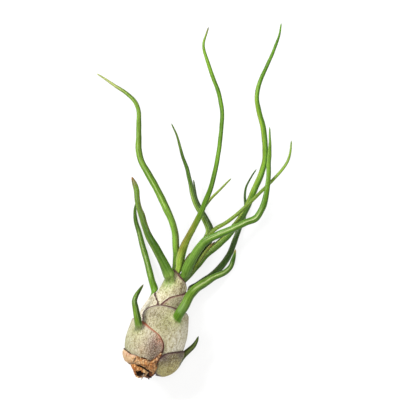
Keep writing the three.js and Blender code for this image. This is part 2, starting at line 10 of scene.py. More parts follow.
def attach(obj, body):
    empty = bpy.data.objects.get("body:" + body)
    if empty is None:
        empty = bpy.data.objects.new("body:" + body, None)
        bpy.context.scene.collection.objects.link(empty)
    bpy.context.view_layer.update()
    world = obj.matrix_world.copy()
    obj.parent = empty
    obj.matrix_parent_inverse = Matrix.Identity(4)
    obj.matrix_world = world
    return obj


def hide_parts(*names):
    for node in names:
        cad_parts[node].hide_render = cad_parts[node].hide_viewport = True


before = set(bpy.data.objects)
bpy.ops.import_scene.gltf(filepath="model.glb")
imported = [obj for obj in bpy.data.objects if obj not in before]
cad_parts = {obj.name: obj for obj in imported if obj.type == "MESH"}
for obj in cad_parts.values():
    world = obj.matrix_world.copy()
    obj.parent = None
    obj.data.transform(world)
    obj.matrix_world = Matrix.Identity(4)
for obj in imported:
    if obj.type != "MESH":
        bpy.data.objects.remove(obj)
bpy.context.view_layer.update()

MM = 0.001
NOISE_SEED = 9
noise.seed_set(NOISE_SEED)

# ---- the bulb's frame

BULB_FOOT = np.array((-6.1, -18.3, 17.2))
BULB_NECK = np.array((9.4, 29.6, 10.7))
# The innermost sheath: distance along the axis, radius. Each layer lies one pitch further out.
CORE_PROFILE = [
    (4.3, 3.3), (4.9, 5.0), (6.0, 6.8), (7.8, 8.4), (10.4, 9.7), (13.8, 10.4), (18, 10.5), (23, 10.3),
    (27, 9.9), (30, 9.3), (33, 8.4), (36, 7.4), (39, 6.65), (43, 6.0), (47, 5.7), (53, 5.6),
]
SHEATH_PITCH = 1.3
# Distance along the axis, and how far the bulb is shifted to the right there.
SIDE_SHIFT = [(-4, 0.6), (10, 0.6), (20, 0.6), (30, -0.2), (37, 0.0), (41, 0.4), (45, 0.65), (54, 0.65)]
AXIS = (BULB_NECK - BULB_FOOT) / np.linalg.norm(BULB_NECK - BULB_FOOT)
RIGHT = np.cross(AXIS, (0, 0, 1))
RIGHT = RIGHT / np.linalg.norm(RIGHT)
FRONT = np.cross(RIGHT, AXIS)

# ---- mesh density

SHEATH_COLUMNS = 96
SHEATH_RINGS = 26
INNER_SHEATH_RINGS = 12
FLARE_RINGS = 10
LEAF_COLUMNS = 36
RING_STEP = 0.9
CUP_COLUMNS = 84
CUP_RINGS = 44
STEM_COLUMNS = 48
STEM_RINGS = 40
ROOT_COLUMNS = 12
ROOT_RINGS = 26
MARGIN_SAMPLES = 601
PROFILE_SAMPLES = 2001

# ---- form shared by the leaves

SHEATH_WALL = 0.8
DRY_WALL = 0.6
EDGE_WALL = 0.3
# A sheath is pressed down and thinned towards its margin, within these distances of it.
SHEATH_PRESS = 0.6
PRESSED_WITHIN = 3.0
THINNED_WITHIN = 3.5
SHEATH_RAGGED = 0.1
# The rings of a sheath crowd towards its margin; one with no blade starts almost at its root.
CROWDING_OUTSIDE = 1.7
CROWDING_INSIDE = 1.5
FIRST_SHARE = 0.02
# In the plane of a margin, 60 degrees round the bulb measure the same as a quarter of its profile.
DEGREES_PER_UNIT = 60
UNITS_ALONG = 4
# Columns are spaced round a margin by their direction from the root this much, the rest by length.
BY_DIRECTION = 0.45
# A blade ends in a round tip: the half width at its end, and how fast it grows from there.
TIP_HALF = 0.12
TIP_GROWTH = 0.62
WIDTH_VARIATION = 0.035
SWAY = 0.16
# How strongly the columns of a ring gather at the channel, and how far from the throat they do.
GATHERING = 0.75
GATHERED_FROM = 8
# The channel: its depth, its half width at three places, where it opens, and its rolled lips.
CHANNEL_DEPTH = 0.5
CHANNEL_PLACES = (0, 0.35, 1)
CHANNEL_WIDTHS = (0.42, 0.26, 0.2)
CHANNEL_OPENS = (1.0, 5.0)
LIP_PLACE = 1.9
LIP_WIDTH = 0.8
LIP_HEIGHT = 0.05
# The foot of an inner leaf is at least this wide from its middle.
LEAST_HALF = 0.34
# How far the green tinge of a sheath reaches from the throat.
HALO_REACH = 4.5
# How far the dark line along the margin of a sheath reaches from it.
SEAM_WIDTH = 0.8
# The distance from the margin given to points that have no margin near them.
FAR = 60.0
SHEATH_SEED, DRY_SEED, CUP_SEED, STEM_SEED, ROOT_SEED = 1, 21, 31, 11, 41

# ---- colours, as they look on screen

CREAM = (236, 229, 200)
SILVER = (214, 207, 174)
GREY_GREEN = (176, 172, 132)
HALO = (196, 206, 128)
MAUVE = (158, 124, 110)
PLUM = (92, 52, 52)
SLATE = (150, 140, 132)
FRESH = (122, 167, 52)
MID = (102, 144, 42)
DEEP = (70, 106, 34)
DARK = (58, 86, 36)
BRIGHT = (150, 190, 60)
VIVID = (106, 156, 34)
# A painted highlight, laid as a strip along the lit upper left side of some blades.
PAINTED_HIGHLIGHT = (232, 240, 206)
LIME = (170, 190, 84)
PALE = (186, 200, 130)
BLUISH = (104, 124, 98)
DUSKY = (124, 116, 78)
RUST = (168, 92, 52)
AMBER = (200, 130, 66)
WITHERED = (96, 70, 44)
PEACH = (255, 222, 174)
ORANGE = (240, 176, 106)
BROWN = (140, 82, 42)
# Near-black, used for painted shade along the dry sheaths' upper margins and inside the cup's mouth.
BLACKISH = (34, 22, 16)

# ---- the leaves

# An outline runs round a sheath: degrees round the bulb, distance along it. A root has the same two.
# A bump or a zone: degrees, distance, half width in both, then height, or colour and amount.
# A blade: X, Y, Z, half width. Its greens: share of its length, colour.
# A strip: place across (-1 left, 1 right), half width, where it starts and ends, colour, amount.
# Many strips are painted light and shade on a blade's upper side, as the notes at the leaves say.
# The fade is where the sheath's colour ends and the green begins, measured from the throat. A lean
# moves it up the blade on the right side: how far, and from which place to which across the bulb.
# A channel opens between two distances along the blade.

SHEATHED_LEAVES = [dict(
    name="leaf_neck_front", layer=0, root=(-42, 45.8), root_radius=2.6, depth=0.86, fade=(-10.6, 2.2),
    lean=(12, -1, 4), opens=(9, 17), tone=(238, 230, 206), halo=0.75, halo_reach=8, rim=PLUM,
    inner_rim=MAUVE,
    outline=[(-42, 50.4), (-20, 50.4), (-4, 49.5), (15, 48.2), (35, 47.2), (58, 46.4), (90, 45.2),
        (130, 43.4), (164, 41), (176, 36), (177.5, 28), (177.5, 14), (175, 7.5), (150, 5.1), (60, 4.9),
        (-60, 4.9), (-150, 5.1), (-175, 7.5), (-177.5, 14), (-177.5, 28), (-176, 38), (-168, 41.5),
        (-140, 44), (-110, 46.8), (-85, 48.8), (-62, 50.2)],
    bumps=[(28, 48, 34, 5, 0.7)],
    blade=[(5, 28.6, 17.8, 2.8), (3.4, 32.4, 18.8, 2.45), (0.9, 37.4, 20.4, 2.15), (-1.2, 41.2, 21.3, 2.1),
        (-3.4, 45.1, 21.9, 1.9), (-5.3, 49, 22.3, 1.68), (-6.5, 52.6, 22.4, 1.62),
        (-7.45, 55.9, 22.2, 1.65), (-8.75, 59, 22, 1.42), (-9.55, 63, 21.4, 1.36), (-10, 68, 20.4, 1.4),
        (-10.8, 70.7, 19.8, 1.3), (-12.2, 74.3, 19, 0.42)],
    speckle=[(36, 42, 30, 6, 0.7)],
    zones=[(30, 43, 30, 6, (206, 168, 152), 0.5), (60, 38, 40, 6, GREY_GREEN, 0.5)],
    greens=[(0, (136, 166, 88)), (0.07, (100, 138, 58)), (0.2, (78, 114, 40)), (0.35, DEEP),
        (0.6, (92, 124, 50)), (0.85, (104, 136, 50)), (0.955, DUSKY), (1, RUST)],
    # The light green strip on its left is painted light; the mauve and brown strips are its own colour.
    strips=[(0.8, 0.2, 0.4, 0.8, MAUVE, 0.5), (-0.7, 0.3, 0.1, 0.9, (138, 164, 84), 0.5),
        (0.1, 0.3, 0.5, 0.75, (120, 112, 76), 0.2)],
), dict(
    name="leaf_left_low", layer=1, root=(-92, 34.2), root_radius=2.3, depth=0.88, fade=(-6.6, -2.6),
    tone=(252, 246, 226), halo=0.4, rim=PLUM, inner_rim=CREAM,
    outline=[(-95, 38.9), (-68, 37.5), (-43, 35.3), (-26, 32.8), (-26, 27), (-26, 15), (-30, 8.4),
        (-46, 4.8), (-100, 3.8), (-150, 4), (-168, 7.4), (-170, 18), (-168, 28), (-155, 33.5), (-130, 36.6),
        (-110, 38.2)],
    blade=[(-1.7, 21.6, 8.2, 2), (-3.1, 26.5, 7.6, 1.95), (-5.3, 34.7, 5.2, 1.8), (-7.3, 41.8, 2.7, 1.65),
        (-9.2, 48.6, 1.29, 1.4), (-10.7, 54, 1.7, 1.15), (-11, 58.3, 3, 0.85), (-10.3, 63, 4.4, 0.36)],
    zones=[(-80, 30, 50, 7, (252, 246, 228), 0.5)],
    greens=[(0, FRESH), (0.2, MID), (0.6, (90, 126, 46)), (1, (96, 130, 50))],
    # The dark strip on its right is painted shade and the pale one a painted highlight.
    strips=[(0.55, 0.4, 0, 1, (44, 66, 34), 0.42), (-0.3, 0.2, 0.15, 0.6, PALE, 0.45)],
), dict(
    name="leaf_right_low", layer=1, root=(104, 38.6), root_radius=2.2, depth=0.88, fade=(-3, 1),
    tone=SILVER, halo=0.2, rim=PLUM, inner_rim=MAUVE,
    outline=[(105, 43.1), (128, 41.8), (145, 38.5), (160, 34), (166, 28), (166, 18), (163, 7.4), (150, 4),
        (110, 3.8), (50, 3.8), (-6, 4.1), (-18, 7), (-21, 14), (-21, 26), (-20, 32.2), (-13, 35.2),
        (0, 37.6), (22, 39.5), (45, 41), (66, 42.5), (86, 43.1)],
    blade=[(15.6, 21.6, 9.2, 1.9), (21.6, 25.4, 7.2, 2), (26.8, 29.1, 5.3, 1.95), (31, 33.8, 3.7, 1.8),
        (34.2, 38.8, 2.5, 1.6), (36.2, 44.2, 1.75, 1.48), (38.3, 49.6, 1.26, 1.34), (40.4, 55, 1.5, 1.15),
        (41.3, 59.7, 2.4, 0.9), (40.9, 64.9, 3.6, 0.66), (41.6, 69.8, 4.8, 0.55), (43.7, 74, 5.8, 0.44),
        (46.3, 77.9, 6.6, 0.34)],
    zones=[(30, 33, 40, 7, (164, 158, 122), 0.8)],
    speckle=[(20, 36, 40, 6, 0.5)],
    greens=[(0, DARK), (0.5, (64, 94, 38)), (0.8, DEEP), (1, DEEP)],
    strips=[(-0.7, 0.3, 0.2, 0.8, BLUISH, 0.5)],
), dict(
    name="leaf_right_finger", layer=2, root=(30, 28.2), root_radius=2.9, depth=0.92, fade=(-4, -2.2),
    tone=(205, 198, 168), halo=0.8, halo_reach=4.6, rim=PLUM, inner_rim=SLATE,
    outline=[(37, 33.3), (60, 33.2), (90, 33), (120, 31.5), (150, 28.5), (170, 24), (176, 17), (176, 10),
        (170, 4.9), (150, 2.7), (100, 2.5), (50, 2.5), (0, 2.5), (-28, 3.2), (-40, 6.4), (-46, 12),
        (-47, 19), (-50, 23.8), (-55.6, 26.8), (-47, 29.3), (-35, 31), (-23, 32.2), (-8, 33), (5.6, 33.2),
        (20, 33.3)],
    bumps=[(66, 25, 42, 7, 0.3)],
    blade=[(10.3, 10.7, 25.5, 2.3), (12.9, 14.6, 25.2, 2.3), (15.1, 19, 23.8, 2.2),
        (17.6, 21.8, 22.2, 2.12), (22.4, 24.9, 19.8, 1.9), (27.3, 27.7, 17.2, 1.5),
        (31.5, 29.6, 15.4, 1.35), (34.1, 32, 14, 1.25), (35.4, 35.4, 13, 1.05), (36.5, 40.2, 12, 0.4)],
    # The near-white zone at 64 degrees is painted light on the right side of the bulb.
    zones=[(4, 24.5, 24, 6, (156, 152, 102), 0.85), (64, 16, 34, 12, (255, 250, 232), 0.95),
        (-30, 28, 26, 3, SLATE, 0.45)],
    greens=[(0, (102, 142, 48)), (0.12, (120, 154, 64)), (0.5, (106, 142, 52)), (0.9, DEEP), (0.955, MID),
        (0.98, (226, 196, 146)), (1, (226, 196, 146))],
    # The whitish strip is a painted highlight and the dark one on its right painted shade.
    strips=[(-0.2, 0.2, 0.3, 0.8, PAINTED_HIGHLIGHT, 0.6), (0.7, 0.35, 0, 0.9, DARK, 0.5)],
), dict(
    name="leaf_front_pouch", layer=3, root=(-43, 17.8), root_radius=2, depth=0.9, fade=(-6.5, 3),
    tone=(216, 210, 184), halo=0.5, rim=(88, 44, 34), inner_rim=(176, 126, 108),
    outline=[(-43, 22.5), (-38.5, 22.2), (-26, 21.1), (-14.4, 19.9), (0, 18.5), (7.5, 17.1), (14, 15.3),
        (17, 13.4), (18.6, 11.1), (16.9, 9.2), (12.5, 7.4), (7, 5.2), (0, 3.4), (-10, 2.2), (-22, 1.4),
        (-40, 0.8), (-80, 0.8), (-120, 0.8), (-160, 0.8), (-190, 1.6), (-202, 5), (-206, 12), (-205, 20),
        (-196, 25.5), (-180, 28), (-155, 27.5), (-130, 25.8), (-105, 24.2), (-70, 23.1)],
    bumps=[(-52, 15, 46, 6.5, 0.6), (-180, 17, 40, 8, 0.8)],
    blade=[(-8.9, 5.4, 27.8, 1.9), (-9.6, 9.3, 28.4, 1.7), (-10.4, 13.2, 28.2, 1.52),
        (-10.8, 16.2, 27.8, 1.36), (-9.9, 18.9, 27.2, 1.15), (-8.4, 21.4, 26.6, 0.85),
        (-6.7, 24, 26, 0.36)],
    # The near-black part of its rim at its foot is painted shade where the pouch overhangs the dry sheaths.
    rim_zones=[(6, 10, (44, 24, 20), 1), (20, 3.2, (176, 104, 72), 0.9)],
    zones=[(-75, 12, 26, 9, (206, 210, 160), 0.6), (-1, 12, 19, 7, (146, 114, 108), 0.9),
        (4, 17, 9, 2.6, (222, 158, 128), 0.7), (-24, 9, 8, 2.5, (176, 138, 90), 0.5)],
    speckle=[(2, 12, 18, 7, 1), (-60, 8, 60, 5, 0.3)],
    greens=[(0, (118, 150, 52)), (0.5, (96, 126, 40)), (0.9, (70, 96, 34)), (1, DUSKY)],
    # The dark strip on its right is painted shade and the bright one on its left painted light.
    strips=[(0.6, 0.4, 0, 0.8, (44, 66, 34), 0.85), (-0.5, 0.3, 0.2, 0.8, BRIGHT, 0.4)],
), dict(
    name="leaf_right_pouch", layer=3, root=(86, 10.8), root_radius=2.3, depth=0.9, fade=(-7, -4.8),
    # Its dark inner rim is partly its own mauve and partly painted shadow of the dry flap on its left.
    tone=(228, 220, 156), halo=0.25, rim=(70, 44, 44), inner_rim=(104, 82, 80),
    outline=[(84, 16), (95, 16.3), (120, 16), (138, 14.5), (146, 11), (147, 6), (143, 2.4), (130, 1),
        (90, 0.8), (55, 0.9), (34, 1.1), (24, 1.9), (17, 3.6), (12.5, 5.5), (14.8, 7.1), (18.6, 8.7),
        (21.2, 10.1), (29, 11.5), (44, 13.3), (62, 14.8)],
    bumps=[(90, 5.5, 40, 5.5, 0.8)],
    blade=[(12.9, -8.6, 14.6, 1.55), (14.9, -6.8, 14.2, 1.45), (16.8, -5, 13.8, 1.25),
        (18.2, -2.7, 13.6, 0.85), (19, -0.6, 13.5, 0.36)],
    # The dark zone at 26 degrees is partly its own mauve and partly painted shadow of the flap; the pale zone
    # at 92 degrees is painted light on the right side of the bulb.
    zones=[(26, 9, 24, 4.2, (122, 104, 98), 0.9), (66, 13, 28, 2.6, (102, 86, 84), 0.9),
        (70, 2.5, 26, 3.5, (218, 208, 126), 0.7), (92, 8.5, 14, 3.5, (246, 240, 196), 0.6)],
    speckle=[(40, 11, 40, 4, 0.9), (80, 5, 50, 6, 0.7)],
    greens=[(0, (78, 86, 32)), (0.5, (68, 82, 30)), (1, (54, 74, 30))],
    strips=[(0, 0.25, 0, 0.9, (124, 136, 74), 0.5)],
)]

INNER_LEAVES = [dict(
    name="leaf_front_long", neck=(1.4, 2.25, 1.5), depth=0.74,
    blade=[(12.7, 28.4, 14.5, 2.2), (13.9, 31.6, 16.8, 2.6), (16, 35.7, 18.6, 2.3),
        (18.9, 40.4, 20.2, 2.07), (23, 44.7, 21.6, 2.05), (28.2, 47.2, 22.6, 1.9), (34.8, 49.9, 23.4, 1.75),
        (41.4, 53.1, 23.6, 1.72), (46.1, 55.2, 23.4, 1.77), (48.9, 59.7, 22.8, 1.68), (50.6, 65.3, 22, 1.5),
        (51.7, 72.9, 21.2, 1.25), (51.9, 79.9, 20.6, 1.2), (52.4, 86, 20.2, 1.02), (52.5, 91.7, 19.8, 0.62),
        (52.4, 97.5, 19.4, 0.34)],
    greens=[(0, PALE), (0.22, (130, 168, 86)), (0.3, (124, 162, 80)), (0.38, (126, 162, 82)),
        (0.5, (108, 150, 58)), (0.75, MID), (0.85, (140, 180, 74)), (0.93, (140, 178, 78)), (1, VIVID)],
    # The whitish strip is a painted highlight and the dark one on its right painted shade.
    strips=[(-0.15, 0.15, 0.47, 0.68, PAINTED_HIGHLIGHT, 0.75), (0.75, 0.3, 0.3, 1, DEEP, 0.6)],
), dict(
    name="leaf_tall_middle", neck=(-1.7, 2, 1.3), depth=0.88,
    blade=[(9.6, 31.5, 14, 1.45), (10.3, 36, 15.2, 1.8), (11.4, 40.4, 16.6, 1.75), (14.8, 46.9, 18.8, 1.6),
        (18.3, 53.6, 20.6, 1.5), (21.4, 60.6, 22.4, 1.36), (24.3, 67.9, 23.8, 1.26), (26.9, 77.6, 25, 1.15),
        (28.8, 88.8, 25.2, 1.08), (30.1, 102, 24.4, 1.05), (29.2, 110.9, 23.2, 1.05),
        (25.9, 120.6, 21.6, 0.98), (22.8, 129.7, 20, 0.84), (21.5, 136.3, 18.8, 0.66),
        (23.7, 144.5, 17.6, 0.34)],
    greens=[(0, PALE), (0.22, (184, 212, 108)), (0.31, (180, 206, 100)), (0.37, (138, 152, 62)),
        (0.44, (130, 144, 58)), (0.5, (104, 142, 40)), (0.58, (98, 136, 38)), (0.68, (112, 152, 46)),
        (0.8, (110, 152, 44)), (0.95, BRIGHT), (1, DUSKY)],
    # The dark strip on its right is painted shade.
    strips=[(-0.6, 0.4, 0.34, 0.46, (166, 132, 86), 0.5), (0.7, 0.35, 0.46, 1, DEEP, 0.5),
        (-0.7, 0.3, 0.22, 0.34, PALE, 0.6)],
), dict(
    name="leaf_long_left", neck=(-3.15, -0.6, 1.25), depth=0.88,
    blade=[(7.9, 31.5, 10, 1.45), (8.5, 37.1, 10.8, 1.75), (8.4, 43.2, 12, 1.85), (7.8, 48.9, 13.2, 1.8),
        (6.1, 54.5, 15, 1.8), (3.3, 60.8, 16.8, 1.9), (-0.2, 67.9, 18.4, 1.85), (-4.2, 75.2, 19.4, 1.78),
        (-7.6, 81.3, 19.6, 1.72), (-9, 87, 19, 1.65), (-9, 93.5, 17.6, 1.42), (-9, 100.1, 15.6, 1.26),
        (-9.1, 105.3, 13.8, 1.16), (-10.9, 109.7, 12, 1.1), (-15.3, 114.1, 10, 1),
        (-20.2, 117.2, 8.4, 0.85), (-25.3, 120.8, 6.8, 0.58), (-29, 123.1, 5.8, 0.34)],
    greens=[(0, PALE), (0.22, (136, 174, 78)), (0.4, (144, 186, 84)), (0.48, (138, 180, 72)),
        (0.55, (106, 148, 46)), (0.64, (134, 168, 72)), (0.75, (126, 162, 66)), (0.85, (140, 172, 70)),
        (0.9, (172, 180, 120)), (1, (198, 200, 146))],
    # The brownish grey and the dark strips on its right are painted shade, the whitish one a painted
    # highlight.
    strips=[(0.6, 0.4, 0.2, 0.37, (124, 114, 86), 0.85), (-0.2, 0.14, 0.44, 0.6, PAINTED_HIGHLIGHT, 0.5),
        (0.7, 0.35, 0.42, 0.9, DEEP, 0.6), (0.1, 0.2, 0.62, 0.85, DUSKY, 0.4)],
), dict(
    name="leaf_long_right", neck=(3.15, -1.25, 1.15), depth=0.9,
    blade=[(14.4, 27.6, 9.4, 1.4), (18.3, 32.4, 9.2, 1.75), (22.1, 37.1, 9.2, 1.75), (27.3, 41.6, 9.4, 1.8),
        (32.4, 46.3, 9.8, 1.8), (37.1, 52.2, 10.6, 1.8), (40.7, 57.8, 11.4, 1.75), (43.5, 63.9, 12.2, 1.68),
        (46.1, 70, 13, 1.65), (48.6, 75.9, 13.8, 1.58), (50.3, 82.3, 14.8, 1.5), (50.3, 88.4, 15.6, 1.5),
        (49.3, 97.8, 16.6, 1.45), (47.2, 106, 17.2, 1.3), (46.4, 111.6, 17.2, 1.2), (47.6, 118, 16.8, 1.12),
        (51.1, 126.2, 15.8, 0.98), (55.4, 136.3, 14.6, 0.78), (57.2, 141.6, 14, 0.55),
        (57.9, 146.5, 13.6, 0.34)],
    greens=[(0, PALE), (0.2, (124, 148, 56)), (0.34, (114, 146, 52)), (0.45, MID), (0.6, (132, 176, 66)),
        (0.68, (134, 178, 70)), (0.75, (120, 164, 54)), (0.85, (116, 160, 52)), (1, VIVID)],
    # The lime strip on its left is painted light and the dark one on its right painted shade.
    strips=[(-0.6, 0.3, 0.35, 0.8, LIME, 0.8), (0.6, 0.4, 0.15, 1, (72, 112, 34), 0.75)],
), dict(
    name="leaf_thin_right", neck=(1, -0.2, 0.8), depth=0.9,
    blade=[(13.5, 30.2, 11.2, 0.85), (16.5, 36.7, 12.9, 1.1), (21.2, 44.2, 14, 1.12),
        (26.3, 49.4, 14.6, 1.08), (32, 52.9, 15.2, 1.02), (38.5, 57.9, 15.8, 0.98), (45, 64, 16.6, 0.9),
        (49.4, 68.4, 17.2, 0.86), (54.1, 73.1, 17.8, 0.82), (58.3, 77.8, 18.2, 0.76),
        (60.9, 81.8, 18.2, 0.68), (62.2, 86.5, 17.8, 0.55), (62.6, 91.2, 17.2, 0.34)],
    greens=[(0, PALE), (0.3, (112, 132, 50)), (0.5, (134, 158, 60)), (0.7, (138, 166, 60)),
        (1, (136, 170, 56))],
), dict(
    name="leaf_thin_middle", neck=(-1.8, -2.4, 0.68), depth=0.9,
    blade=[(10.5, 31.2, 8.2, 0.8), (12.5, 39, 9, 0.9), (15.3, 47.9, 10.4, 0.88), (19.3, 55.9, 11.6, 0.82),
        (23.5, 62.5, 12, 0.75), (28.2, 67.4, 11.8, 0.6), (31.8, 71, 11.4, 0.48), (34.4, 73.6, 11, 0.34)],
    greens=[(0, PALE), (0.4, FRESH), (0.7, (142, 160, 72)), (1, (150, 168, 76))],
), dict(
    name="leaf_back_middle", neck=(0.2, -2.3, 1), depth=0.9, channel=0.25,
    blade=[(13.2, 30, 6.8, 1.2), (16, 34.5, 5.6, 1.45), (19.7, 40.6, 5, 1.6), (22.8, 45.6, 5.2, 1.5),
        (23.6, 48.9, 5.6, 1.3), (22.3, 53.1, 6.2, 1.22), (20, 57.6, 6.8, 1.25), (17.7, 61.7, 7.4, 1.25),
        (16.2, 67, 8.2, 1.16), (14.9, 72.9, 9.2, 1.06), (13.5, 78.3, 10, 0.94), (11.7, 83.9, 10.6, 0.78),
        (10.2, 88.8, 11, 0.66), (8.7, 94.2, 11.2, 0.49), (6.3, 99.4, 11.2, 0.32)],
    greens=[(0, PALE), (0.3, (108, 144, 58)), (0.6, (110, 152, 56)), (0.72, (84, 128, 44)),
        (0.82, (62, 104, 32)), (0.9, (96, 124, 60)), (1, (112, 136, 72))],
    # The pale strip on its left is painted light and the bluish one on its right painted shade.
    strips=[(-0.55, 0.4, 0.3, 0.7, (186, 210, 130), 0.85), (0.55, 0.35, 0.3, 0.75, BLUISH, 0.8)],
), dict(
    name="leaf_back_low", neck=(2, -3.3, 0.7), depth=0.9,
    blade=[(15.2, 29.2, 5, 0.85), (18.8, 34.5, 3.3, 1.05), (22.5, 40.4, 2.4, 1.12), (25.1, 45.6, 2.2, 1.14),
        (25, 50.3, 2.4, 1.1), (22.7, 55, 2.8, 1), (20, 59.5, 3.3, 0.88), (18.1, 63.9, 3.9, 0.72),
        (17.3, 68.4, 4.6, 0.5), (16.7, 72.9, 5.2, 0.34)],
    greens=[(0, PALE), (0.3, (74, 104, 42)), (0.6, (92, 116, 72)), (1, BLUISH)],
), dict(
    name="leaf_short_middle", neck=(-0.9, -0.3, 0.68), depth=0.85,
    blade=[(11, 31, 10.6, 0.7), (12.5, 33.4, 11.7, 0.8), (13.8, 36, 12.7, 0.8), (15.3, 38.6, 13.6, 0.42)],
    greens=[(0, PALE), (0.6, BRIGHT), (0.9, LIME), (1, AMBER)],
    strips=[(-0.7, 0.3, 0.6, 1, AMBER, 0.8)],
), dict(
    name="leaf_withered", neck=(3.5, 0.95, 0.58), depth=0.8,
    blade=[(15.9, 29.6, 12.3, 0.8), (19.3, 34.3, 13, 0.92), (21.6, 38.1, 13.2, 0.9),
        (24.4, 41.6, 13.8, 0.68), (26.8, 43.8, 14, 0.36)],
    greens=[(0, PALE), (0.5, (112, 140, 52)), (0.82, (140, 152, 66)), (0.9, (150, 128, 66)),
        (0.95, WITHERED), (1, (60, 36, 24))],
    strips=[(0.4, 0.3, 0.7, 0.9, (106, 82, 48), 0.5)],
)]

DRY_SHEATHS = [dict(
    name="dry_sheath_left", layer=4, root=(-104, 5), crumple=0.1, ragged=0.06, press=0.7, creased=0.12,
    shaded_from=(-181, -180), tone=PEACH,
    bumps=[(-60, 4.6, 40, 2.6, 0.5)],
    outline=[(-110, 8.2), (-84, 8.3), (-62, 7.2), (-46, 6.1), (-29, 5.8), (-25, 4.2), (-33, 2.6),
        (-46, 1.9), (-70, 2.1), (-100, 2), (-130, 2), (-156, 2.2), (-170, 3.2), (-174, 5.2), (-165, 7.2),
        (-140, 8)],
    zones=[(-46, 1.6, 22, 1.3, BROWN, 0.8), (-48, 6.2, 26, 1.1, (214, 168, 150), 0.7)],
), dict(
    name="dry_sheath_front", layer=4.8, root=(-2, 3.4), crumple=0.42, ragged=0.1, press=0.55, creased=1,
    shaded_from=(-31, -19), tone=ORANGE,
    outline=[(-14, 5.7), (-2, 5.4), (5.5, 6.6), (10.5, 8.8), (13.6, 10.9), (15.2, 9.4), (15.2, 6.4),
        (17.5, 3.6), (19.5, 1.2), (15.5, 0.1), (11, 0.3), (5, 0.9), (-5, 1.4), (-16, 1.8), (-26, 1.7),
        (-33, 2.4), (-37, 3.5), (-32, 4.9), (-23, 5.7)],
    zones=[(-30, 3.4, 12, 1.6, PEACH, 0.85), (-10, 4.6, 9, 0.8, PEACH, 0.6),
        (2, 3.4, 4, 0.9, (196, 118, 60), 0.6), (11, 7.4, 4, 2.6, (252, 212, 176), 0.8),
        (12, 3.2, 8, 3, (244, 190, 130), 0.7), (-6, 2.9, 5, 0.7, BROWN, 0.5)],
)]

# The slit under the flap and the line between the two dry sheaths, sunk in and painted black as shade:
# X and Y of points along them, half width, depth.
SLITS = [
    ([(-9.3, -13.8), (-7.9, -14.2), (-6.4, -15.0), (-4.8, -16.2), (-3.0, -17.3)], 0.42, 1.4),
    ([(-10.2, -9.6), (-10.7, -10.9), (-11.4, -12.3), (-11.6, -13.2)], 0.16, 0.3),
]
# Only what lies above this range of heights is slit. A point with no slit near it gets UNSLIT.
SLIT_HEIGHTS = (19, 22)
UNSLIT = 9.0
# The torn cup below the dry front sheath: the middle of its mouth and the way the mouth faces.
CUP_MOUTH = np.array((-8.25, -17.75, 24.0))
CUP_FACING = np.array((-0.12, -0.72, 0.68))
# From its inside, painted dark as shade, over the lip to the part hidden in the collar: radius, depth.
CUP_PROFILE = [
    (0.9, 3.4), (1.5, 3.0), (1.8, 2.0), (1.9, 1.0), (2.0, 0.3), (2.2, -0.12), (2.55, -0.25),
    (2.85, -0.05), (3.15, 0.5), (3.5, 1.3), (3.95, 2.3), (4.45, 3.4), (4.8, 4.6), (4.7, 6.0),
]
# Waves round the cup: size, times round, start.
CUP_PLEATS = [(0.10, 5, 0.7), (0.07, 9, 2.1), (0.04, 16, 0)]
CUP_TEARS = [(0.30, 2, 2.6), (0.22, 5, 1.3), (0.12, 11, 0)]
# The rings of the cup at which its mouth, painted dark as shade, ends and its lip lies.
MOUTH_RING, LIP_RING = 12, 17

STEM_PROFILE = [
    (-1.2, 1.6), (-0.8, 2.3), (0.6, 3.4), (2.4, 4.35), (4.8, 4.1), (6.6, 3.6), (8.6, 2.6), (9.3, 1.4),
]
PALE_ROOT = (196, 178, 160)
DARK_ROOT = (48, 34, 26)
# Dead roots at the foot: their colour, then to the right, to the front, along the axis, half width.
ROOTS = [
    (PALE_ROOT, [
        (-0.8, 4.5, 1.0, 0.22), (-0.7, 5.6, -0.2, 0.22), (-0.55, 6.9, -1.3, 0.2), (-0.6, 6.7, -2.4, 0.18),
        (-0.9, 5.9, -3.5, 0.1),
    ]),
    (DARK_ROOT, [(1.2, 3.6, 0.8, 0.5), (1.4, 4.2, -0.3, 0.5), (2.2, 4.2, -0.8, 0.45), (3.4, 4.0, -0.8, 0.3)]),
    (DARK_ROOT, [(0.0, 3.6, 0.8, 0.5), (0.2, 4.2, -0.3, 0.45), (0.1, 4.0, -1.1, 0.2)]),
    (DARK_ROOT, [(1.4, -1.6, 0.2, 0.42), (1.8, -2.2, -0.8, 0.34), (2.6, -2.5, -1.4, 0.2)]),
]
# The hidden foot of an inner leaf: distance along the axis, shares of its spread and of its width.
INNER_LEAF_FOOT = [(10.2, 0.5, 0.45), (20, 0.72, 0.62), (32, 0.9, 0.85), (40, 1, 0.98), (46.5, 1, 1)]

# ---- paint

# How much darker the paint is than it looks under the bright lights.
PAINT = 0.74


def paint(colour):
    """A colour given as it looks on screen, as the shader needs it."""
    share = np.array(colour) / 255
    return tuple(PAINT * np.where(share <= 0.04045, share / 12.92, ((share + 0.055) / 1.055) ** 2.4))


def filtered(colour):
    """A colour that another one is multiplied by."""
    return tuple(np.array(paint(colour)) / PAINT)


def mixed(tint, colour, amount):
    """A tint with another colour laid over it."""
    return tint + (np.array(paint(colour)) - tint) * np.asarray(amount)[..., None]


def plain(colour, points):
    """The same colour at every point."""
    return np.ones(points.shape) * np.array(paint(colour))


def blend_stops(stops, x):
    """Colours along a leaf from (share, colour) stops."""
    places = [stop[0] for stop in stops]
    colours = np.array([paint(stop[1]) for stop in stops])
    return np.stack([np.interp(x, places, colours[:, i]) for i in range(3)], -1)


# ---- curves


def smooth(low, high, x):
    """From 0 at low to 1 at high, with a smooth start and end."""
    f = np.clip((np.asarray(x, float) - low) / (high - low), 0, 1)
    return f * f * (3 - 2 * f)


def unit(v):
    return v / np.maximum(np.linalg.norm(v, axis=-1, keepdims=True), 1e-12)


def round_turn(count):
    """Even angles all the way round, in radians."""
    return np.arange(count) / count * 2 * np.pi


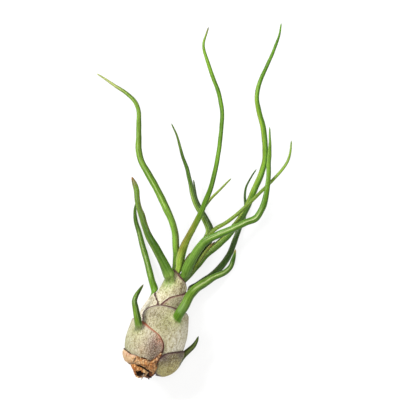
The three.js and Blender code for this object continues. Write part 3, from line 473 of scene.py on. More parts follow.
def catmull(points, share, closed=False):
    """Points of a centripetal Catmull-Rom curve; share runs evenly over its spans."""
    pts = np.asarray(points, float)
    count = len(pts)
    spans = count if closed else count - 1
    at = np.clip(np.asarray(share, float), 0, 1) * spans
    k = np.minimum(np.floor(at).astype(int), spans - 1)
    w = (at - k)[..., None]
    if closed:
        pts = pts[np.arange(-1, count + 2) % count]
    else:
        pts = np.vstack([2 * pts[0] - pts[1], pts, 2 * pts[-1] - pts[-2]])
    p0, p1, p2, p3 = (pts[k + shift] for shift in range(4))
    d0, d1, d2 = (np.sum(step ** 2, axis=-1, keepdims=True) ** 0.25 for step in (p1 - p0, p2 - p1, p3 - p2))
    d1 = np.where(d1 < 1e-4, 1, d1)
    d0, d2 = (np.where(d < 1e-4, d1, d) for d in (d0, d2))
    t1 = ((p1 - p0) / d0 - (p2 - p0) / (d0 + d1) + (p2 - p1) / d1) * d1
    t2 = ((p2 - p1) / d1 - (p3 - p1) / (d1 + d2) + (p3 - p2) / d2) * d1
    return p1 + t1 * w + (3 * (p2 - p1) - 2 * t1 - t2) * w ** 2 + (2 * (p1 - p2) + t1 + t2) * w ** 3


def heading(points, share, step=1e-4):
    """The direction of that curve."""
    return unit(catmull(points, share + step) - catmull(points, share - step))


def run_along(points, share):
    """The length of that curve up to each share."""
    steps = np.linalg.norm(np.diff(catmull(points, share), axis=0), axis=1)
    return np.concatenate([[0], np.cumsum(steps)])


def even_share(points, step):
    """Shares along a curve that step evenly by length, and its length."""
    dense = np.linspace(0, 1, 60 * len(points))
    run = run_along(points, dense)
    count = max(8, int(round(run[-1] / step)))
    return np.interp(np.linspace(0, run[-1], count + 1), run, dense), run[-1]


def eased(table, x):
    """A table read with smooth steps between its rows."""
    xs, ys = np.array(table, float).T
    k = np.clip(np.searchsorted(xs, x), 1, len(xs) - 1)
    f = np.clip((x - xs[k - 1]) / (xs[k] - xs[k - 1]), 0, 1)
    return ys[k - 1] + f * f * (3 - 2 * f) * (ys[k] - ys[k - 1])


def wander(seed, x, y, scale):
    """Smooth seeded noise over a grid, from -1 to 1."""
    flat = np.stack([np.ravel(x) * scale, np.ravel(y) * scale], -1)
    values = [noise.noise(Vector((a, b, seed * 7.31))) for a, b in flat]
    return np.reshape(values, np.shape(x)) * 1.6


def crumpled(points, seed, amount, scale):
    """Points moved by soft folds and by smaller creases."""
    moved = []
    for x, y, z in points.reshape(-1, 3):
        at = Vector((x * scale, y * scale, z * scale + seed * 3.7))
        fold = noise.turbulence_vector(
            at, 3, False, noise_basis="PERLIN_ORIGINAL", amplitude_scale=0.55, frequency_scale=2.1
        )
        moved.append((fold.x, fold.y, fold.z))
    return points + np.array(moved).reshape(points.shape) * amount


# ---- the surface of the bulb

CORE_SHARE = np.linspace(0, 1, 201)
CORE_LENGTH = run_along(CORE_PROFILE, CORE_SHARE)


def profile(q, height):
    """Distance along the axis and radius of the surface a given height outside the innermost sheath."""
    u = np.interp(np.clip(q, 0, 1) * CORE_LENGTH[-1], CORE_LENGTH, CORE_SHARE)
    p = catmull(CORE_PROFILE, u)
    t = heading(CORE_PROFILE, u)
    return p[..., 0] - t[..., 1] * height, p[..., 1] + t[..., 0] * height


def place(s, height):
    """Where along the profile that surface reaches a distance along the axis."""
    q = np.linspace(0, 1, PROFILE_SAMPLES)
    reached = np.maximum.accumulate(profile(q, height)[0])
    return np.interp(s, reached, q)


def bulb_point(s, r, degrees):
    """A point from its distance along the axis, its radius and its angle from the front."""
    a = np.radians(degrees)
    s, r, a = np.broadcast_arrays(np.asarray(s, float), np.asarray(r, float), a)
    sideways = r * np.sin(a) + eased(SIDE_SHIFT, s)
    forward = r * np.cos(a)
    return BULB_FOOT + AXIS * s[..., None] + RIGHT * sideways[..., None] + FRONT * forward[..., None]


def in_bulb(points):
    """Points in the bulb's own frame: to the right, to the front, along the axis."""
    moved = points - BULB_FOOT
    return np.stack([moved @ RIGHT, moved @ FRONT, moved @ AXIS], -1)


def in_zone(degrees, s, zone):
    """How strongly a bump, zone or speckle is felt at each point."""
    a, middle, wide, long = zone[:4]
    return zone[-1] * np.exp(-((degrees - a) / wide) ** 2 - ((s - middle) / long) ** 2)


def sheath_point(spec, degrees, q, depth):
    """A point on a sheath, a depth below its outside, with its bumps."""
    height = spec["layer"] * SHEATH_PITCH
    s = profile(q, height)[0]
    swell = sum((in_zone(degrees, s, bump) for bump in spec.get("bumps", ())), np.zeros(np.shape(s)))
    along, radius = profile(q, height - depth + swell)
    return bulb_point(along, radius, degrees)


def margin_columns(spec):
    """The root of a sheath and columns round its margin, even in direction and in length."""
    height = spec["layer"] * SHEATH_PITCH
    root = (spec["root"][0], place(spec["root"][1], height))
    corners = [(a / DEGREES_PER_UNIT, place(s, height) * UNITS_ALONG) for a, s in spec["outline"]]
    share = np.linspace(0, 1, MARGIN_SAMPLES)
    round_bulb, up_bulb = catmull(corners, share, closed=True).T
    turn = np.arctan2(round_bulb - root[0] / DEGREES_PER_UNIT, up_bulb - root[1] * UNITS_ALONG)
    turn = np.unwrap(turn)
    weights = BY_DIRECTION * (turn - turn[0]) / (2 * np.pi) + (1 - BY_DIRECTION) * share
    weights = np.maximum.accumulate(weights) + np.arange(MARGIN_SAMPLES) * 1e-9
    target = np.arange(SHEATH_COLUMNS) / SHEATH_COLUMNS
    degrees = np.interp(target, weights, round_bulb * DEGREES_PER_UNIT)
    return root, degrees, np.interp(target, weights, up_bulb / UNITS_ALONG)


def sheath_surface(spec, seed, wall):
    """The outer rings of a sheath, its margin and its inner rings."""
    (root_a, root_q), margin_a, margin_q = margin_columns(spec)
    centre = sheath_point(spec, root_a, root_q, 0.0)
    reach = np.linalg.norm(sheath_point(spec, margin_a, margin_q, 0.0) - centre, axis=-1)
    first = np.full(SHEATH_COLUMNS, FIRST_SHARE)
    if "root_radius" in spec:
        first = np.minimum(0.5, spec["root_radius"] / reach)
    turn = round_turn(SHEATH_COLUMNS)
    wave = spec.get("ragged", SHEATH_RAGGED) * wander(seed, np.cos(turn) * 9, np.sin(turn) * 9, 0.35)
    outer = 1 - np.linspace(1, 0, SHEATH_RINGS) ** CROWDING_OUTSIDE
    inner = 1 - np.linspace(0, 1, INNER_SHEATH_RINGS) ** CROWDING_INSIDE
    rows = []
    # A kind of 0 is the outside, 1 is the margin and 2 is the inside.
    for kind, f in [(0, v) for v in outer] + [(1, 1.0)] + [(2, v) for v in inner]:
        share = first + f * (1 - first)
        away = (1 - share) * reach
        share = share * (1 + wave / reach * smooth(0.6, 1, share))
        if kind == 1:
            share = share + 0.5 * EDGE_WALL / reach
        degrees = root_a + share * (margin_a - root_a)
        q = root_q + share * (margin_q - root_q)
        sunk = spec.get("press", SHEATH_PRESS) * (1 - smooth(0, PRESSED_WITHIN, away))
        sunk = sunk + (EDGE_WALL + (wall - EDGE_WALL) * smooth(0, THINNED_WITHIN, away)) * kind / 2
        rows.append((sheath_point(spec, degrees, q, sunk), degrees, away, np.full(SHEATH_COLUMNS, kind)))
    points, degrees, away, kind = (np.array([row[i] for row in rows]) for i in range(4))
    inside = sheath_point(spec, root_a, root_q, np.array(wall))
    return dict(points=points, degrees=degrees, away=away, kind=kind, centre=centre, inside=inside)


def zone_tint(spec, points, degrees):
    """The tone of a sheath with its coloured zones."""
    tint = plain(spec["tone"], points)
    for zone in spec["zones"]:
        tint = mixed(tint, zone[4], in_zone(degrees, in_bulb(points)[..., 2], zone))
    return tint


# ---- blades


def blade_sections(spec, points, first_up, columns):
    """Rings of a blade with its channel, and what each point of them knows about its place."""
    centres = np.array([p[:3] for p in points])
    share, length = even_share(centres, RING_STEP)
    middle = catmull(centres, share)
    along = heading(centres, share)
    half = catmull([(p[3], 0, 0) for p in points], share)[:, 0]
    run = np.linspace(0, length, len(share))
    to_tip = length - run
    half = np.minimum(half, TIP_HALF + TIP_GROWTH * np.sqrt(np.maximum(to_tip, 0)))
    seed = sum(map(ord, spec["name"])) % 97
    settled = smooth(2, 8, run) * smooth(0, 6, to_tip)
    half = (half * (1 + WIDTH_VARIATION * settled * wander(seed, run, run * 0, 0.3)))[:, None]
    sway = np.stack([wander(seed + k, run, run * 0, 0.16) for k in (1, 2)], -1) * SWAY * settled[:, None]
    up = np.array(first_up, float)
    ups = []
    for direction in along:
        up = unit(up - direction * (up @ direction))
        ups.append(up)
    ups = np.array(ups)
    sides = np.cross(ups, along)
    middle = middle + sides * sway[:, :1] + ups * sway[:, 1:] * 0.5

    # The blade of a sheathed leaf is round where it leaves its sheath.
    spread = opening = np.ones((len(run), 1))
    if "layer" in spec:
        spread = smooth(0, GATHERED_FROM, run)[:, None]
        opening = smooth(*spec.get("opens", CHANNEL_OPENS), run)[:, None]
    even = np.arange(columns) / columns
    gathered = even - GATHERING * np.sin(2 * np.pi * even) / (2 * np.pi)
    angle = 2 * np.pi * (even + (gathered - even) * spread)
    turned = np.abs(np.where(angle > np.pi, angle - 2 * np.pi, angle))
    width = np.interp(share, CHANNEL_PLACES, CHANNEL_WIDTHS)[:, None]
    channel = np.exp(-(turned / width) ** 1.6)
    lips = np.exp(-((turned - width * LIP_PLACE) / (width * LIP_WIDTH)) ** 2)
    radius = 1 - spec.get("channel", CHANNEL_DEPTH) * opening * channel + LIP_HEIGHT * opening * lips
    upward = half * spec["depth"] * np.cos(angle) * radius
    sideways = half * np.sin(angle) * radius
    ring = middle[:, None] + ups[:, None] * upward[..., None] + sides[:, None] * sideways[..., None]

    seen_right = unit(np.cross(along, (0, 0, 1.0)))
    outward = ring - middle[:, None]
    lateral = np.einsum("ijk,ik->ij", outward, seen_right) / half
    above = outward[..., 2] / half
    tint = blend_stops(spec["greens"], share)[:, None, :] * np.ones((1, columns, 1))
    # Strips lie on the upper side only, left and right as seen from above; many are painted light and shade.
    for centre, wide, start, end, colour, amount in spec.get("strips", ()):
        mask = amount * np.exp(-((lateral - centre) / wide) ** 2) * smooth(-0.5, 0.2, above)
        ends = smooth(start - 0.06, start + 0.04, share) * (1 - smooth(end - 0.04, end + 0.06, share))
        tint = mixed(tint, colour, mask * ends[:, None])
    # Painted shade darkens the open channel, and its rolled lips are painted paler.
    tint = mixed(tint, DARK, 0.5 * channel * opening)
    tint = mixed(tint, PALE, 0.22 * lips * opening)
    leaf = [half * np.cos(angle), half * np.sin(angle), run[:, None] + angle * 0]
    return dict(
        points=ring, tint=tint, leaf=np.stack(leaf, -1), along=along, run=run,
        foot=middle[0] - along[0] * half[0] * 0.5, tip=middle[-1] + along[-1] * half[-1],
    )


def flare(blade_ring, along, start, following):
    """The throat between the blade and the sheath."""
    f = (np.arange(1, FLARE_RINGS + 1) / (FLARE_RINGS + 1))[:, None, None]
    reach = np.linalg.norm(start - blade_ring, axis=-1, keepdims=True) * 0.9
    out = unit(following - start)
    return (
        blade_ring * (2 * f ** 3 - 3 * f ** 2 + 1) - along * reach * (f ** 3 - 2 * f ** 2 + f)
        + start * (3 * f ** 2 - 2 * f ** 3) + out * reach * (f ** 3 - f ** 2)
    )


# ---- meshes

COLOUR_LAYERS = ("tint", "rim")
# Numbers a point in an attribute: its type, the name of its values.
ATTRIBUTE_KINDS = {1: ("FLOAT", "value"), 3: ("FLOAT_VECTOR", "vector"), 4: ("FLOAT_COLOR", "color")}


def closed_mesh(name, rings, attributes, start=None, end=None):
    """One closed mesh over rings of points, closed at each end on a single point."""
    start = rings[0].mean(0) if start is None else start
    end = rings[-1].mean(0) if end is None else end
    rows, columns = rings.shape[:2]
    points = np.vstack([rings.reshape(-1, 3), start, end])
    points[:, 2] = np.maximum(points[:, 2], 0.0)
    i = (np.arange(rows - 1) * columns)[:, None]
    j = np.arange(columns)[None, :]
    k = (j + 1) % columns
    quads = np.stack([i + j, i + columns + j, i + columns + k, i + k], -1).reshape(-1, 4)
    first = len(points) - 2
    tail = (rows - 1) * columns
    fans = [(first, m, (m + 1) % columns) for m in range(columns)]
    fans += [(tail + m, first + 1, tail + (m + 1) % columns) for m in range(columns)]
    a, b, c, d = (points[quads[:, corner]] for corner in range(4))
    faces = quads.tolist() + fans
    if np.einsum("ij,ij->", a, np.cross(b, c) + np.cross(c, d)) < 0:
        faces = [face[::-1] for face in faces]
    mesh = bpy.data.meshes.new(name)
    mesh.from_pydata((points * MM).tolist(), [], faces)
    mesh.polygons.foreach_set("use_smooth", np.ones(len(mesh.polygons), bool))
    for key, values in attributes.items():
        values = values.reshape(rows, columns, -1)
        flat = np.vstack([*values, values[0].mean(0), values[-1].mean(0)])
        if key in COLOUR_LAYERS:
            flat = np.hstack([flat, np.ones((len(flat), 1))])
        kind, field = ATTRIBUTE_KINDS[flat.shape[1]]
        layer = mesh.attributes.new(key, kind, "POINT")
        layer.data.foreach_set(field, flat.astype(np.float32).ravel())
    mesh.update()
    piece = bpy.data.objects.new(name, mesh)
    bpy.context.scene.collection.objects.link(piece)
    return piece


def dress(piece, node, material):
    """The piece takes its material and the place of its solid."""
    piece.data.materials.append(material)
    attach(piece, "root")
    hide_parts(node)


# ---- the pieces


def sheathed_leaf(spec, seed, material):
    """A pale sheath on the bulb, its throat and its green blade, in one mesh from tip to inside."""
    lying = sheath_surface(spec, seed, SHEATH_WALL)
    inward = -unit(lying["centre"] - lying["inside"])
    blade = blade_sections(spec, spec["blade"], inward, SHEATH_COLUMNS)
    sheath, throat, green = lying["points"], blade["points"][0], blade["tint"][::-1]
    neck = flare(throat, blade["along"][0], sheath[0], sheath[1])
    steps = np.diff(np.concatenate([throat[None], neck, sheath[:1]]), axis=0)
    run = np.cumsum(np.linalg.norm(steps, axis=-1), axis=0)
    length = run[-1].mean()
    on_sheath = length + np.linalg.norm(sheath - sheath[0], axis=-1)
    from_throat = np.concatenate([run[:-1] / run[-1] * length, on_sheath])
    below = np.concatenate([neck, sheath])
    rings = np.concatenate([blade["points"][::-1], below])
    bulb = in_bulb(rings)
    first = len(rings) - len(sheath)

    degrees = np.concatenate([np.full(neck.shape[:2], spec["root"][0]), lying["degrees"]])
    tint = zone_tint(spec, below, degrees)
    halo = spec["halo"] * np.exp(-(from_throat / spec.get("halo_reach", HALO_REACH)) ** 2)
    tint = mixed(tint, HALO, halo)
    leaf = np.ones(below.shape) * blade["leaf"][0]
    leaf[..., 2] = -from_throat
    distance = np.concatenate([blade["run"][::-1, None] * np.ones(SHEATH_COLUMNS), -from_throat])
    amount, left, right = spec.get("lean", (0, 0, 1))
    distance = distance - amount * smooth(left, right, bulb[..., 0]) * (1 - smooth(-3, 1, distance))
    edge = np.full(rings.shape[:2], FAR)
    edge[first:] = np.where(lying["kind"] > 1, FAR, lying["away"])
    rim = plain(spec["rim"], rings)
    for s, long, colour, amount in spec.get("rim_zones", ()):
        rim = mixed(rim, colour, amount * np.exp(-((bulb[..., 2] - s) / long) ** 2))
    speckle = np.zeros(rings.shape[:2])
    for zone in spec.get("speckle", ()):
        speckle[first:] += in_zone(lying["degrees"], bulb[first:, :, 2], zone)
    layers = dict(
        blade_tint=np.concatenate([green, np.ones(below.shape) * green[-1].mean(0)]),
        tint=np.concatenate([np.ones(green.shape) * tint[0].mean(0), tint]),
        leaf=np.concatenate([blade["leaf"][::-1], leaf]),
        bulb=bulb,
        greening=smooth(*spec["fade"], distance),
        edge=edge,
        rim=rim,
        speckle=np.minimum(1, speckle),
        inner_rim=plain(spec["inner_rim"], rings),
    )
    piece = closed_mesh("dressed_" + spec["name"], rings, layers, blade["tip"], lying["inside"])
    dress(piece, spec["name"], material)


def inner_leaf(spec, material):
    """A blade that grows from the stem through the neck of the bulb."""
    u, v, half = spec["neck"]
    angle = math.degrees(math.atan2(u, v))
    foot = [
        (*bulb_point(s, math.hypot(u, v) * spread, angle), max(LEAST_HALF, half * size))
        for s, spread, size in INNER_LEAF_FOOT
    ]
    blade = blade_sections(spec, foot + spec["blade"], unit(-RIGHT * u - FRONT * v), LEAF_COLUMNS)
    layers = dict(tint=blade["tint"], leaf=blade["leaf"])
    piece = closed_mesh("dressed_" + spec["name"], blade["points"], layers, blade["foot"], blade["tip"])
    dress(piece, spec["name"], material)


def slit(points):
    """Points near the slits sunk into the collar, and how near each one is to them."""
    points = points.copy()
    nearness = np.full(points.shape[:-1], UNSLIT)
    for line, wide, deep in SLITS:
        line = np.array(line)
        start, step = line[:-1], np.diff(line, axis=0)
        offset = points[..., None, :2] - start
        along = np.clip((offset * step).sum(-1) / (step ** 2).sum(-1), 0, 1)
        gap = np.linalg.norm(offset - along[..., None] * step, axis=-1).min(-1)
        low = 1 - smooth(*SLIT_HEIGHTS, points[..., 2])
        nearness = np.minimum(nearness, gap / wide + UNSLIT * low)
        points[..., 2] -= deep * np.exp(-(gap / wide) ** 4) * (1 - low)
    return points, nearness


def dry_sheath(spec, seed, material):
    """A crumpled old sheath, with near-black painted shade along its margin above the root, and brown inside.
    """
    lying = sheath_surface(spec, seed, DRY_WALL)
    flat, degrees = lying["points"], lying["degrees"]
    points = crumpled(flat, seed, spec["crumple"], 0.42)
    points = crumpled(points, seed + 5, spec["crumple"] * 0.45, 1.1)
    above = in_bulb(flat)[..., 2] - spec["root"][1]
    # Painted shade: a near-black band along the margin above the root, where the sheath above overhangs it.
    crease = np.exp(-(lying["away"] / 0.9) ** 4) * smooth(0.3, 1.6, above)
    crease = crease * smooth(*spec["shaded_from"], degrees)
    tint = mixed(zone_tint(spec, flat, degrees), BLACKISH, 0.95 * crease)
    tint = mixed(tint, BROWN, 0.8 * (lying["kind"] > 1))
    points, nearness = slit(points)
    creased = np.full(nearness.shape, spec["creased"])
    layers = dict(tint=tint, bulb=in_bulb(points), creased=creased, slit=nearness)
    piece = closed_mesh("dressed_" + spec["name"], points, layers)
    dress(piece, spec["name"], material)


def waves(table, turn):
    return sum(size * np.sin(times * turn + start) for size, times, start in table)


def dry_cup(material):
    """The torn cup round the foot of the stem, with its mouth painted near-black as shade."""
    facing = unit(CUP_FACING)
    across = unit(np.array((1.0, 0, 0)) - facing * facing[0])
    upper = np.cross(facing, across)
    radius, depth = catmull(CUP_PROFILE, np.linspace(0, 1, CUP_RINGS)).T[..., None]
    turn = round_turn(CUP_COLUMNS)
    lower = 0.16 * np.maximum(-np.sin(turn), 0) * smooth(2.4, 4.0, radius)
    r = radius * (1 + waves(CUP_PLEATS, turn) * 0.8) * (1 - lower)
    near_lip = np.exp(-(((depth - 0.2) / 1.6) ** 2))
    h = depth + waves(CUP_TEARS, turn) * near_lip
    points = CUP_MOUTH + across * (r * np.cos(turn))[..., None] + upper * (r * np.sin(turn))[..., None]
    points = crumpled(points - facing * h[..., None], CUP_SEED, 0.22, 0.5)
    ring = np.arange(CUP_RINGS)[:, None] * np.ones(CUP_COLUMNS)
    inner = 1 - smooth(MOUTH_RING, LIP_RING, ring)
    tint = plain(ORANGE, points)
    tint = mixed(tint, PEACH, 0.7 * smooth(0.2, 1, np.cos(turn + 0.4)))
    tint = mixed(tint, (206, 128, 60), 0.55 * smooth(0.3, 1, -np.cos(turn)))
    tint = mixed(tint, BROWN, 0.7 * np.exp(-((ring - LIP_RING) / 2.5) ** 2))
    # Painted shade: the inside of the mouth is near-black.
    tint = mixed(tint, BLACKISH, 0.97 * inner)
    points, nearness = slit(points)
    layers = dict(tint=tint, bulb=in_bulb(points), creased=0.8 * (1 - inner), slit=nearness)
    dress(closed_mesh("dressed_dry_cup", points, layers), "dry_sheath_front", material)


def stem_piece(material):
    places, radii = zip(*STEM_PROFILE)
    s = np.linspace(places[0], places[-1], STEM_RINGS)[:, None]
    rings = bulb_point(s, np.interp(s, places, radii), np.arange(STEM_COLUMNS) / STEM_COLUMNS * 360)
    rings = crumpled(rings, STEM_SEED, 0.18, 0.6)
    piece = closed_mesh("dressed_stem", rings, dict(tint=plain(BROWN, rings), bulb=in_bulb(rings)))
    dress(piece, "stem", material)


def root_piece(number, colour, points, material):
    """A thin dead root that starts inside the foot of the stem."""
    route = np.array([BULB_FOOT + RIGHT * u + FRONT * v + AXIS * s for u, v, s, _ in points])
    share = np.linspace(0, 1, ROOT_RINGS)
    half = catmull([(p[3], 0, 0) for p in points], share)[:, :1, None]
    along = heading(route, share, 1e-3)
    sides = unit(np.cross(along, FRONT))
    ups = np.cross(sides, along)
    turn = round_turn(ROOT_COLUMNS)[:, None]
    outward = sides[:, None] * np.cos(turn) + ups[:, None] * np.sin(turn)
    rings = crumpled(catmull(route, share)[:, None] + half * outward, ROOT_SEED + number, 0.12, 1.2)
    piece = closed_mesh(f"dressed_root_{number}", rings, dict(tint=plain(colour, rings), bulb=in_bulb(rings)))
    dress(piece, "stem", material)


# ---- materials


class Shader:
    """A small helper for node materials."""

    def __init__(self, name):
        self.material = bpy.data.materials.new(name)
        self.material.use_nodes = True
        self.tree = self.material.node_tree
        self.surface = self.tree.nodes["Principled BSDF"]

    def node(self, kind, values=(), **settings):
        made = self.tree.nodes.new(kind)
        for key, value in settings.items():
            setattr(made, key, value)
        for key, value in dict(values).items():
            self.set(made.inputs[key], value)
        return made

    def set(self, socket, value):
        if isinstance(value, bpy.types.NodeSocket):
            self.tree.links.new(value, socket)
        elif isinstance(value, tuple) and len(value) == 3 and socket.type == "RGBA":
            socket.default_value = (*value, 1)
        else:
            socket.default_value = value

    def attribute(self, name, part="Fac"):
        return self.node("ShaderNodeAttribute", attribute_name=name).outputs[part]

    def scaled(self, vector, by):
        return self.node("ShaderNodeVectorMath", {0: vector, 1: by}, operation="MULTIPLY").outputs[0]

    def noise(self, vector, scale, detail=2.0, rough=0.5):
        values = {"Vector": vector, "Scale": scale, "Detail": detail, "Roughness": rough}
        return self.node("ShaderNodeTexNoise", values).outputs["Fac"]

    def cells(self, vector, scale):
        return self.node("ShaderNodeTexVoronoi", {"Vector": vector, "Scale": scale}).outputs["Distance"]

    def ramp(self, value, low, high, to_low=0.0, to_high=1.0):
        values = {"Value": value, "From Min": low, "From Max": high, "To Min": to_low, "To Max": to_high}
        return self.node("ShaderNodeMapRange", values, interpolation_type="SMOOTHSTEP").outputs["Result"]

    def mix(self, factor, a, b, blend="MIX"):
        values = {0: factor, 6: a, 7: b}
        return self.node("ShaderNodeMix", values, data_type="RGBA", blend_type=blend).outputs[2]

    def mix_value(self, factor, a, b):
        return self.node("ShaderNodeMix", {0: factor, 2: a, 3: b}, data_type="FLOAT").outputs[0]

    def math(self, operation, a, b=0.0):
        return self.node("ShaderNodeMath", {0: a, 1: b}, operation=operation).outputs[0]

    def plus(self, a, b):
        return self.math("ADD", a, b)

    def times(self, a, b):
        return self.math("MULTIPLY", a, b)

    def filter(self, colour, amount, by):
        """The colour seen through another one, as much as the amount says."""
        return self.mix(amount, colour, self.mix(1.0, colour, filtered(by), "MULTIPLY"))

    def stain(self, colour, value, low, high, amount, by):
        """The colour filtered where a value is high."""
        return self.filter(colour, self.ramp(value, low, high, 0.0, amount), by)

    def finish(self, colour, roughness, height, strength, distance, specular):
        bump = self.node("ShaderNodeBump", {"Height": height, "Strength": strength, "Distance": distance})
        self.set(self.surface.inputs["Base Color"], colour)
        self.set(self.surface.inputs["Roughness"], roughness)
        self.set(self.surface.inputs["Normal"], bump.outputs["Normal"])
        self.set(self.surface.inputs["Specular IOR Level"], specular)
        return self.material


def blade_look(shader, tint):
    """Green blade: fine lengthwise veins, soft mottling and scattered pale scales."""
    leaf = shader.attribute("leaf", "Vector")
    veins = shader.noise(shader.scaled(leaf, (1, 1, 0.04)), 1.9, 3.0, 0.6)
    mottle = shader.noise(shader.scaled(leaf, (1, 1, 0.35)), 0.55, 3.0, 0.6)
    specks = shader.ramp(shader.cells(shader.scaled(leaf, (1, 1, 0.55)), 4.2), 0.10, 0.32, 1.0, 0.0)
    colour = shader.stain(tint, veins, 0.42, 0.62, 0.75, (176, 190, 150))
    colour = shader.stain(colour, mottle, 0.42, 0.7, 0.5, (196, 204, 186))
    colour = shader.mix(shader.times(specks, 0.12), colour, paint((206, 214, 160)))
    colour = shader.mix(1.0, colour, filtered((245, 250, 210)), "MULTIPLY")
    height = shader.plus(shader.times(veins, 0.7), shader.times(specks, 0.3))
    return colour, height, shader.ramp(shader.plus(specks, mottle), 0.3, 1.6, 0.32, 0.48)


def sheath_look(shader, tint):
    """Scurfy sheath: cream ground, olive and brown flecks, silvery scales and a dark margin."""
    bulb = shader.attribute("bulb", "Vector")
    stretched = shader.scaled(bulb, (1, 1, 0.55))
    broad = shader.noise(bulb, 0.17)
    streaks = shader.noise(shader.scaled(bulb, (1, 1, 0.22)), 0.9, 3.0, 0.6)
    mottle = shader.noise(stretched, 0.7, 3.0, 0.55)
    flecks = shader.noise(stretched, 2.0, 2.0, 0.6)
    fine = shader.noise(bulb, 3.0, 2.0, 0.6)
    colour = shader.stain(tint, broad, 0.42, 0.62, 0.35, (222, 218, 186))
    colour = shader.stain(colour, streaks, 0.52, 0.68, 0.45, (200, 198, 140))
    colour = shader.stain(colour, mottle, 0.48, 0.66, 0.55, (182, 168, 128))
    colour = shader.stain(colour, flecks, 0.48, 0.64, 0.75, (158, 140, 108))
    colour = shader.stain(colour, fine, 0.52, 0.68, 0.4, (150, 134, 108))
    spots = shader.ramp(shader.noise(bulb, 2.3, 2.0, 0.6), 0.46, 0.6)
    colour = shader.filter(colour, shader.times(spots, shader.attribute("speckle")), (128, 102, 96))
    silver = shader.ramp(shader.cells(bulb, 1.9), 0.12, 0.42, 1.0, 0.0)
    colour = shader.mix(shader.times(silver, 0.5), colour, paint((240, 236, 216)))
    edge = shader.math("DIVIDE", shader.attribute("edge"), SEAM_WIDTH)
    edge = shader.plus(edge, shader.ramp(mottle, 0.3, 0.7, -0.3, 0.3))
    for rim, low, high, amount in (("inner_rim", 1.0, 3.0, 0.65), ("rim", 0.75, 1.25, 0.94)):
        colour = shader.mix(shader.ramp(edge, low, high, amount, 0.0), colour, shader.attribute(rim, "Color"))
    height = shader.plus(shader.times(silver, 0.5), shader.times(mottle, 0.9))
    height = shader.math("SUBTRACT", height, shader.times(flecks, 0.5))
    return colour, height, shader.ramp(mottle, 0.3, 0.7, 0.52, 0.72)


def sheathed_material():
    """The sheath's look turns into the blade's over a ragged edge."""
    shader = Shader("sheathed_leaf")
    green = blade_look(shader, shader.attribute("blade_tint", "Color"))
    scurf = sheath_look(shader, shader.attribute("tint", "Color"))
    ragged = shader.noise(shader.scaled(shader.attribute("bulb", "Vector"), (1, 1, 0.16)), 1.9, 3.0)
    amount = shader.plus(shader.attribute("greening"), shader.ramp(ragged, 0.3, 0.7, -0.14, 0.14))
    amount = shader.ramp(amount, 0.02, 0.98)
    colour = shader.mix(amount, scurf[0], green[0])
    height, rough = (shader.mix_value(amount, scurf[i], green[i]) for i in (1, 2))
    return shader.finish(colour, rough, height, 0.5, 0.0004, 0.18)


def blade_material():
    shader = Shader("inner_leaf")
    colour, height, rough = blade_look(shader, shader.attribute("tint", "Color"))
    return shader.finish(colour, rough, height, 0.3, 0.0003, 0.14)


def dry_material():
    """Papery old sheath: stained folds and fibres, a painted highlight on wrinkle ridges, painted shade in
    wrinkle creases and black painted shade in the slits.
    """
    shader = Shader("dry_sheath")
    bulb = shader.attribute("bulb", "Vector")
    creased = shader.attribute("creased")
    folds = shader.noise(shader.scaled(bulb, (1, 1, 0.6)), 0.9, 4.0, 0.65)
    fibre = shader.noise(shader.scaled(bulb, (2.2, 2.2, 0.3)), 1.6, 3.0, 0.6)
    wrinkle = shader.noise(shader.scaled(bulb, (1, 1, 0.7)), 0.8, 4.0, 0.62)
    colour = shader.stain(shader.attribute("tint", "Color"), folds, 0.45, 0.66, 0.7, (218, 166, 100))
    colour = shader.stain(colour, fibre, 0.5, 0.68, 0.55, (190, 148, 104))
    # Painted shade darkens the wrinkle creases and a painted highlight lightens their ridges, as far as the
    # creased value allows.
    crease = shader.math("ABSOLUTE", shader.math("SUBTRACT", wrinkle, 0.5))
    crease = shader.times(shader.ramp(crease, 0.0, 0.05, 1.0, 0.0), creased)
    ridge_highlight = shader.times(shader.ramp(wrinkle, 0.54, 0.66), creased)
    colour = shader.mix(shader.times(ridge_highlight, 0.7), colour, paint((255, 230, 176)))
    colour = shader.mix(shader.times(crease, 0.85), colour, paint((146, 76, 36)))
    # Painted shade: the slits are near-black.
    slit_shade = shader.ramp(shader.attribute("slit"), 0.8, 1.15, 0.97, 0.0)
    colour = shader.mix(slit_shade, colour, paint((16, 10, 8)))
    height = shader.plus(folds, shader.times(fibre, 0.6))
    height = shader.math("SUBTRACT", height, shader.times(crease, 0.8))
    return shader.finish(colour, shader.ramp(folds, 0.3, 0.7, 0.5, 0.75), height, 0.9, 0.0008, 0.22)


def stem_material():
    shader = Shader("stem")
    bark = shader.noise(shader.scaled(shader.attribute("bulb", "Vector"), (1.6, 1.6, 0.5)), 1.6, 4.0, 0.65)
    colour = shader.stain(shader.attribute("tint", "Color"), bark, 0.35, 0.7, 1.0, (150, 120, 100))
    return shader.finish(colour, shader.ramp(bark, 0.3, 0.7, 0.7, 0.9), bark, 0.7, 0.0006, 0.2)


# ---- the plant

leaf_material = sheathed_material()
for seed, spec in enumerate(SHEATHED_LEAVES):
    sheathed_leaf(spec, seed + SHEATH_SEED, leaf_material)
inner_material = blade_material()
for spec in INNER_LEAVES:
    inner_leaf(spec, inner_material)
dry = dry_material()
for seed, spec in enumerate(DRY_SHEATHS):
    dry_sheath(spec, seed + DRY_SEED, dry)
dry_cup(dry)
bark = stem_material()
stem_piece(bark)
for number, (colour, points) in enumerate(ROOTS):
    root_piece(number, colour, points, bark)

# ---- floor, light and camera

IMAGE_SIDE = 400
MM_PER_PIXEL = 0.47
VIEW_CENTRE = (19.74, 63.45, 14.0)
LENS = 350.0
SENSOR = 36.0
CLIP_NEAR = 0.1
CLIP_FAR = 10
FLOOR_CORNERS = [(-1, -1), (1, -1), (1, 1), (-1, 1)]
FLOOR_REACH = 3.0
FLOOR_HEIGHT = -2e-4
FLOOR_GLOW = 0.78
WORLD_GLOW = 0.2
WHITE = (1, 1, 1)
LIGHT_TARGET = (10, 30, 10)
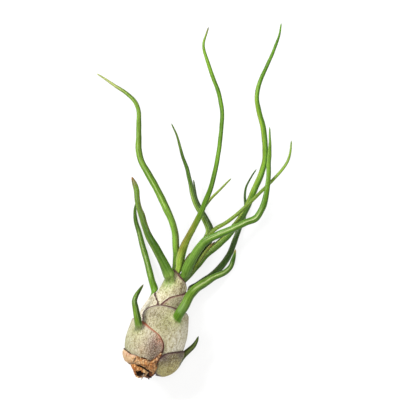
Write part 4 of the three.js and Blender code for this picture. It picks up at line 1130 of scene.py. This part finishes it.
# Name, place in millimetres, side in metres, power in watts.
LIGHTS = [
    ("key", (-420, 420, 620), 0.3, 9.5),
    ("top", (20, 60, 2600), 1.0, 33.0),
    ("fill", (500, -360, 520), 0.5, 2.4),
]


def floor():
    mesh = bpy.data.meshes.new("floor")
    corners = [(x * FLOOR_REACH, y * FLOOR_REACH, FLOOR_HEIGHT) for x, y in FLOOR_CORNERS]
    mesh.from_pydata(corners, [], [(0, 1, 2, 3)])
    piece = bpy.data.objects.new("floor", mesh)
    bpy.context.scene.collection.objects.link(piece)
    shader = Shader("floor")
    grain = shader.noise(shader.node("ShaderNodeTexCoord").outputs["Object"], 40.0, 3.0)
    colour = shader.mix(grain, (0.19, 0.19, 0.19), (0.21, 0.21, 0.21))
    shader.set(shader.surface.inputs["Emission Color"], WHITE)
    shader.set(shader.surface.inputs["Emission Strength"], FLOOR_GLOW)
    piece.data.materials.append(shader.finish(colour, 0.9, grain, 0.02, 0.0002, 0.0))


def area_light(name, place_mm, side, power):
    data = bpy.data.lights.new(name, "AREA")
    data.size = side
    data.energy = power
    lamp = bpy.data.objects.new(name, data)
    lamp.location = Vector(place_mm) * MM
    lamp.rotation_mode = "QUATERNION"
    lamp.rotation_quaternion = (Vector(LIGHT_TARGET) * MM - lamp.location).to_track_quat("-Z", "Y")
    bpy.context.scene.collection.objects.link(lamp)


floor()
for light in LIGHTS:
    area_light(*light)
world = bpy.data.worlds.new("studio")
world.use_nodes = True
world.node_tree.nodes["Background"].inputs["Color"].default_value = (*WHITE, 1)
world.node_tree.nodes["Background"].inputs["Strength"].default_value = WORLD_GLOW
bpy.context.scene.world = world
bpy.context.scene.view_settings.view_transform = "Standard"

camera_data = bpy.data.cameras.new("camera")
camera_data.lens = LENS
camera_data.sensor_width = SENSOR
camera_data.clip_start = CLIP_NEAR
camera_data.clip_end = CLIP_FAR
camera = bpy.data.objects.new("camera", camera_data)
distance = IMAGE_SIDE * MM_PER_PIXEL * LENS / SENSOR
camera.location = Vector((VIEW_CENTRE[0], VIEW_CENTRE[1], VIEW_CENTRE[2] + distance)) * MM
bpy.context.scene.collection.objects.link(camera)
bpy.context.scene.camera = camera
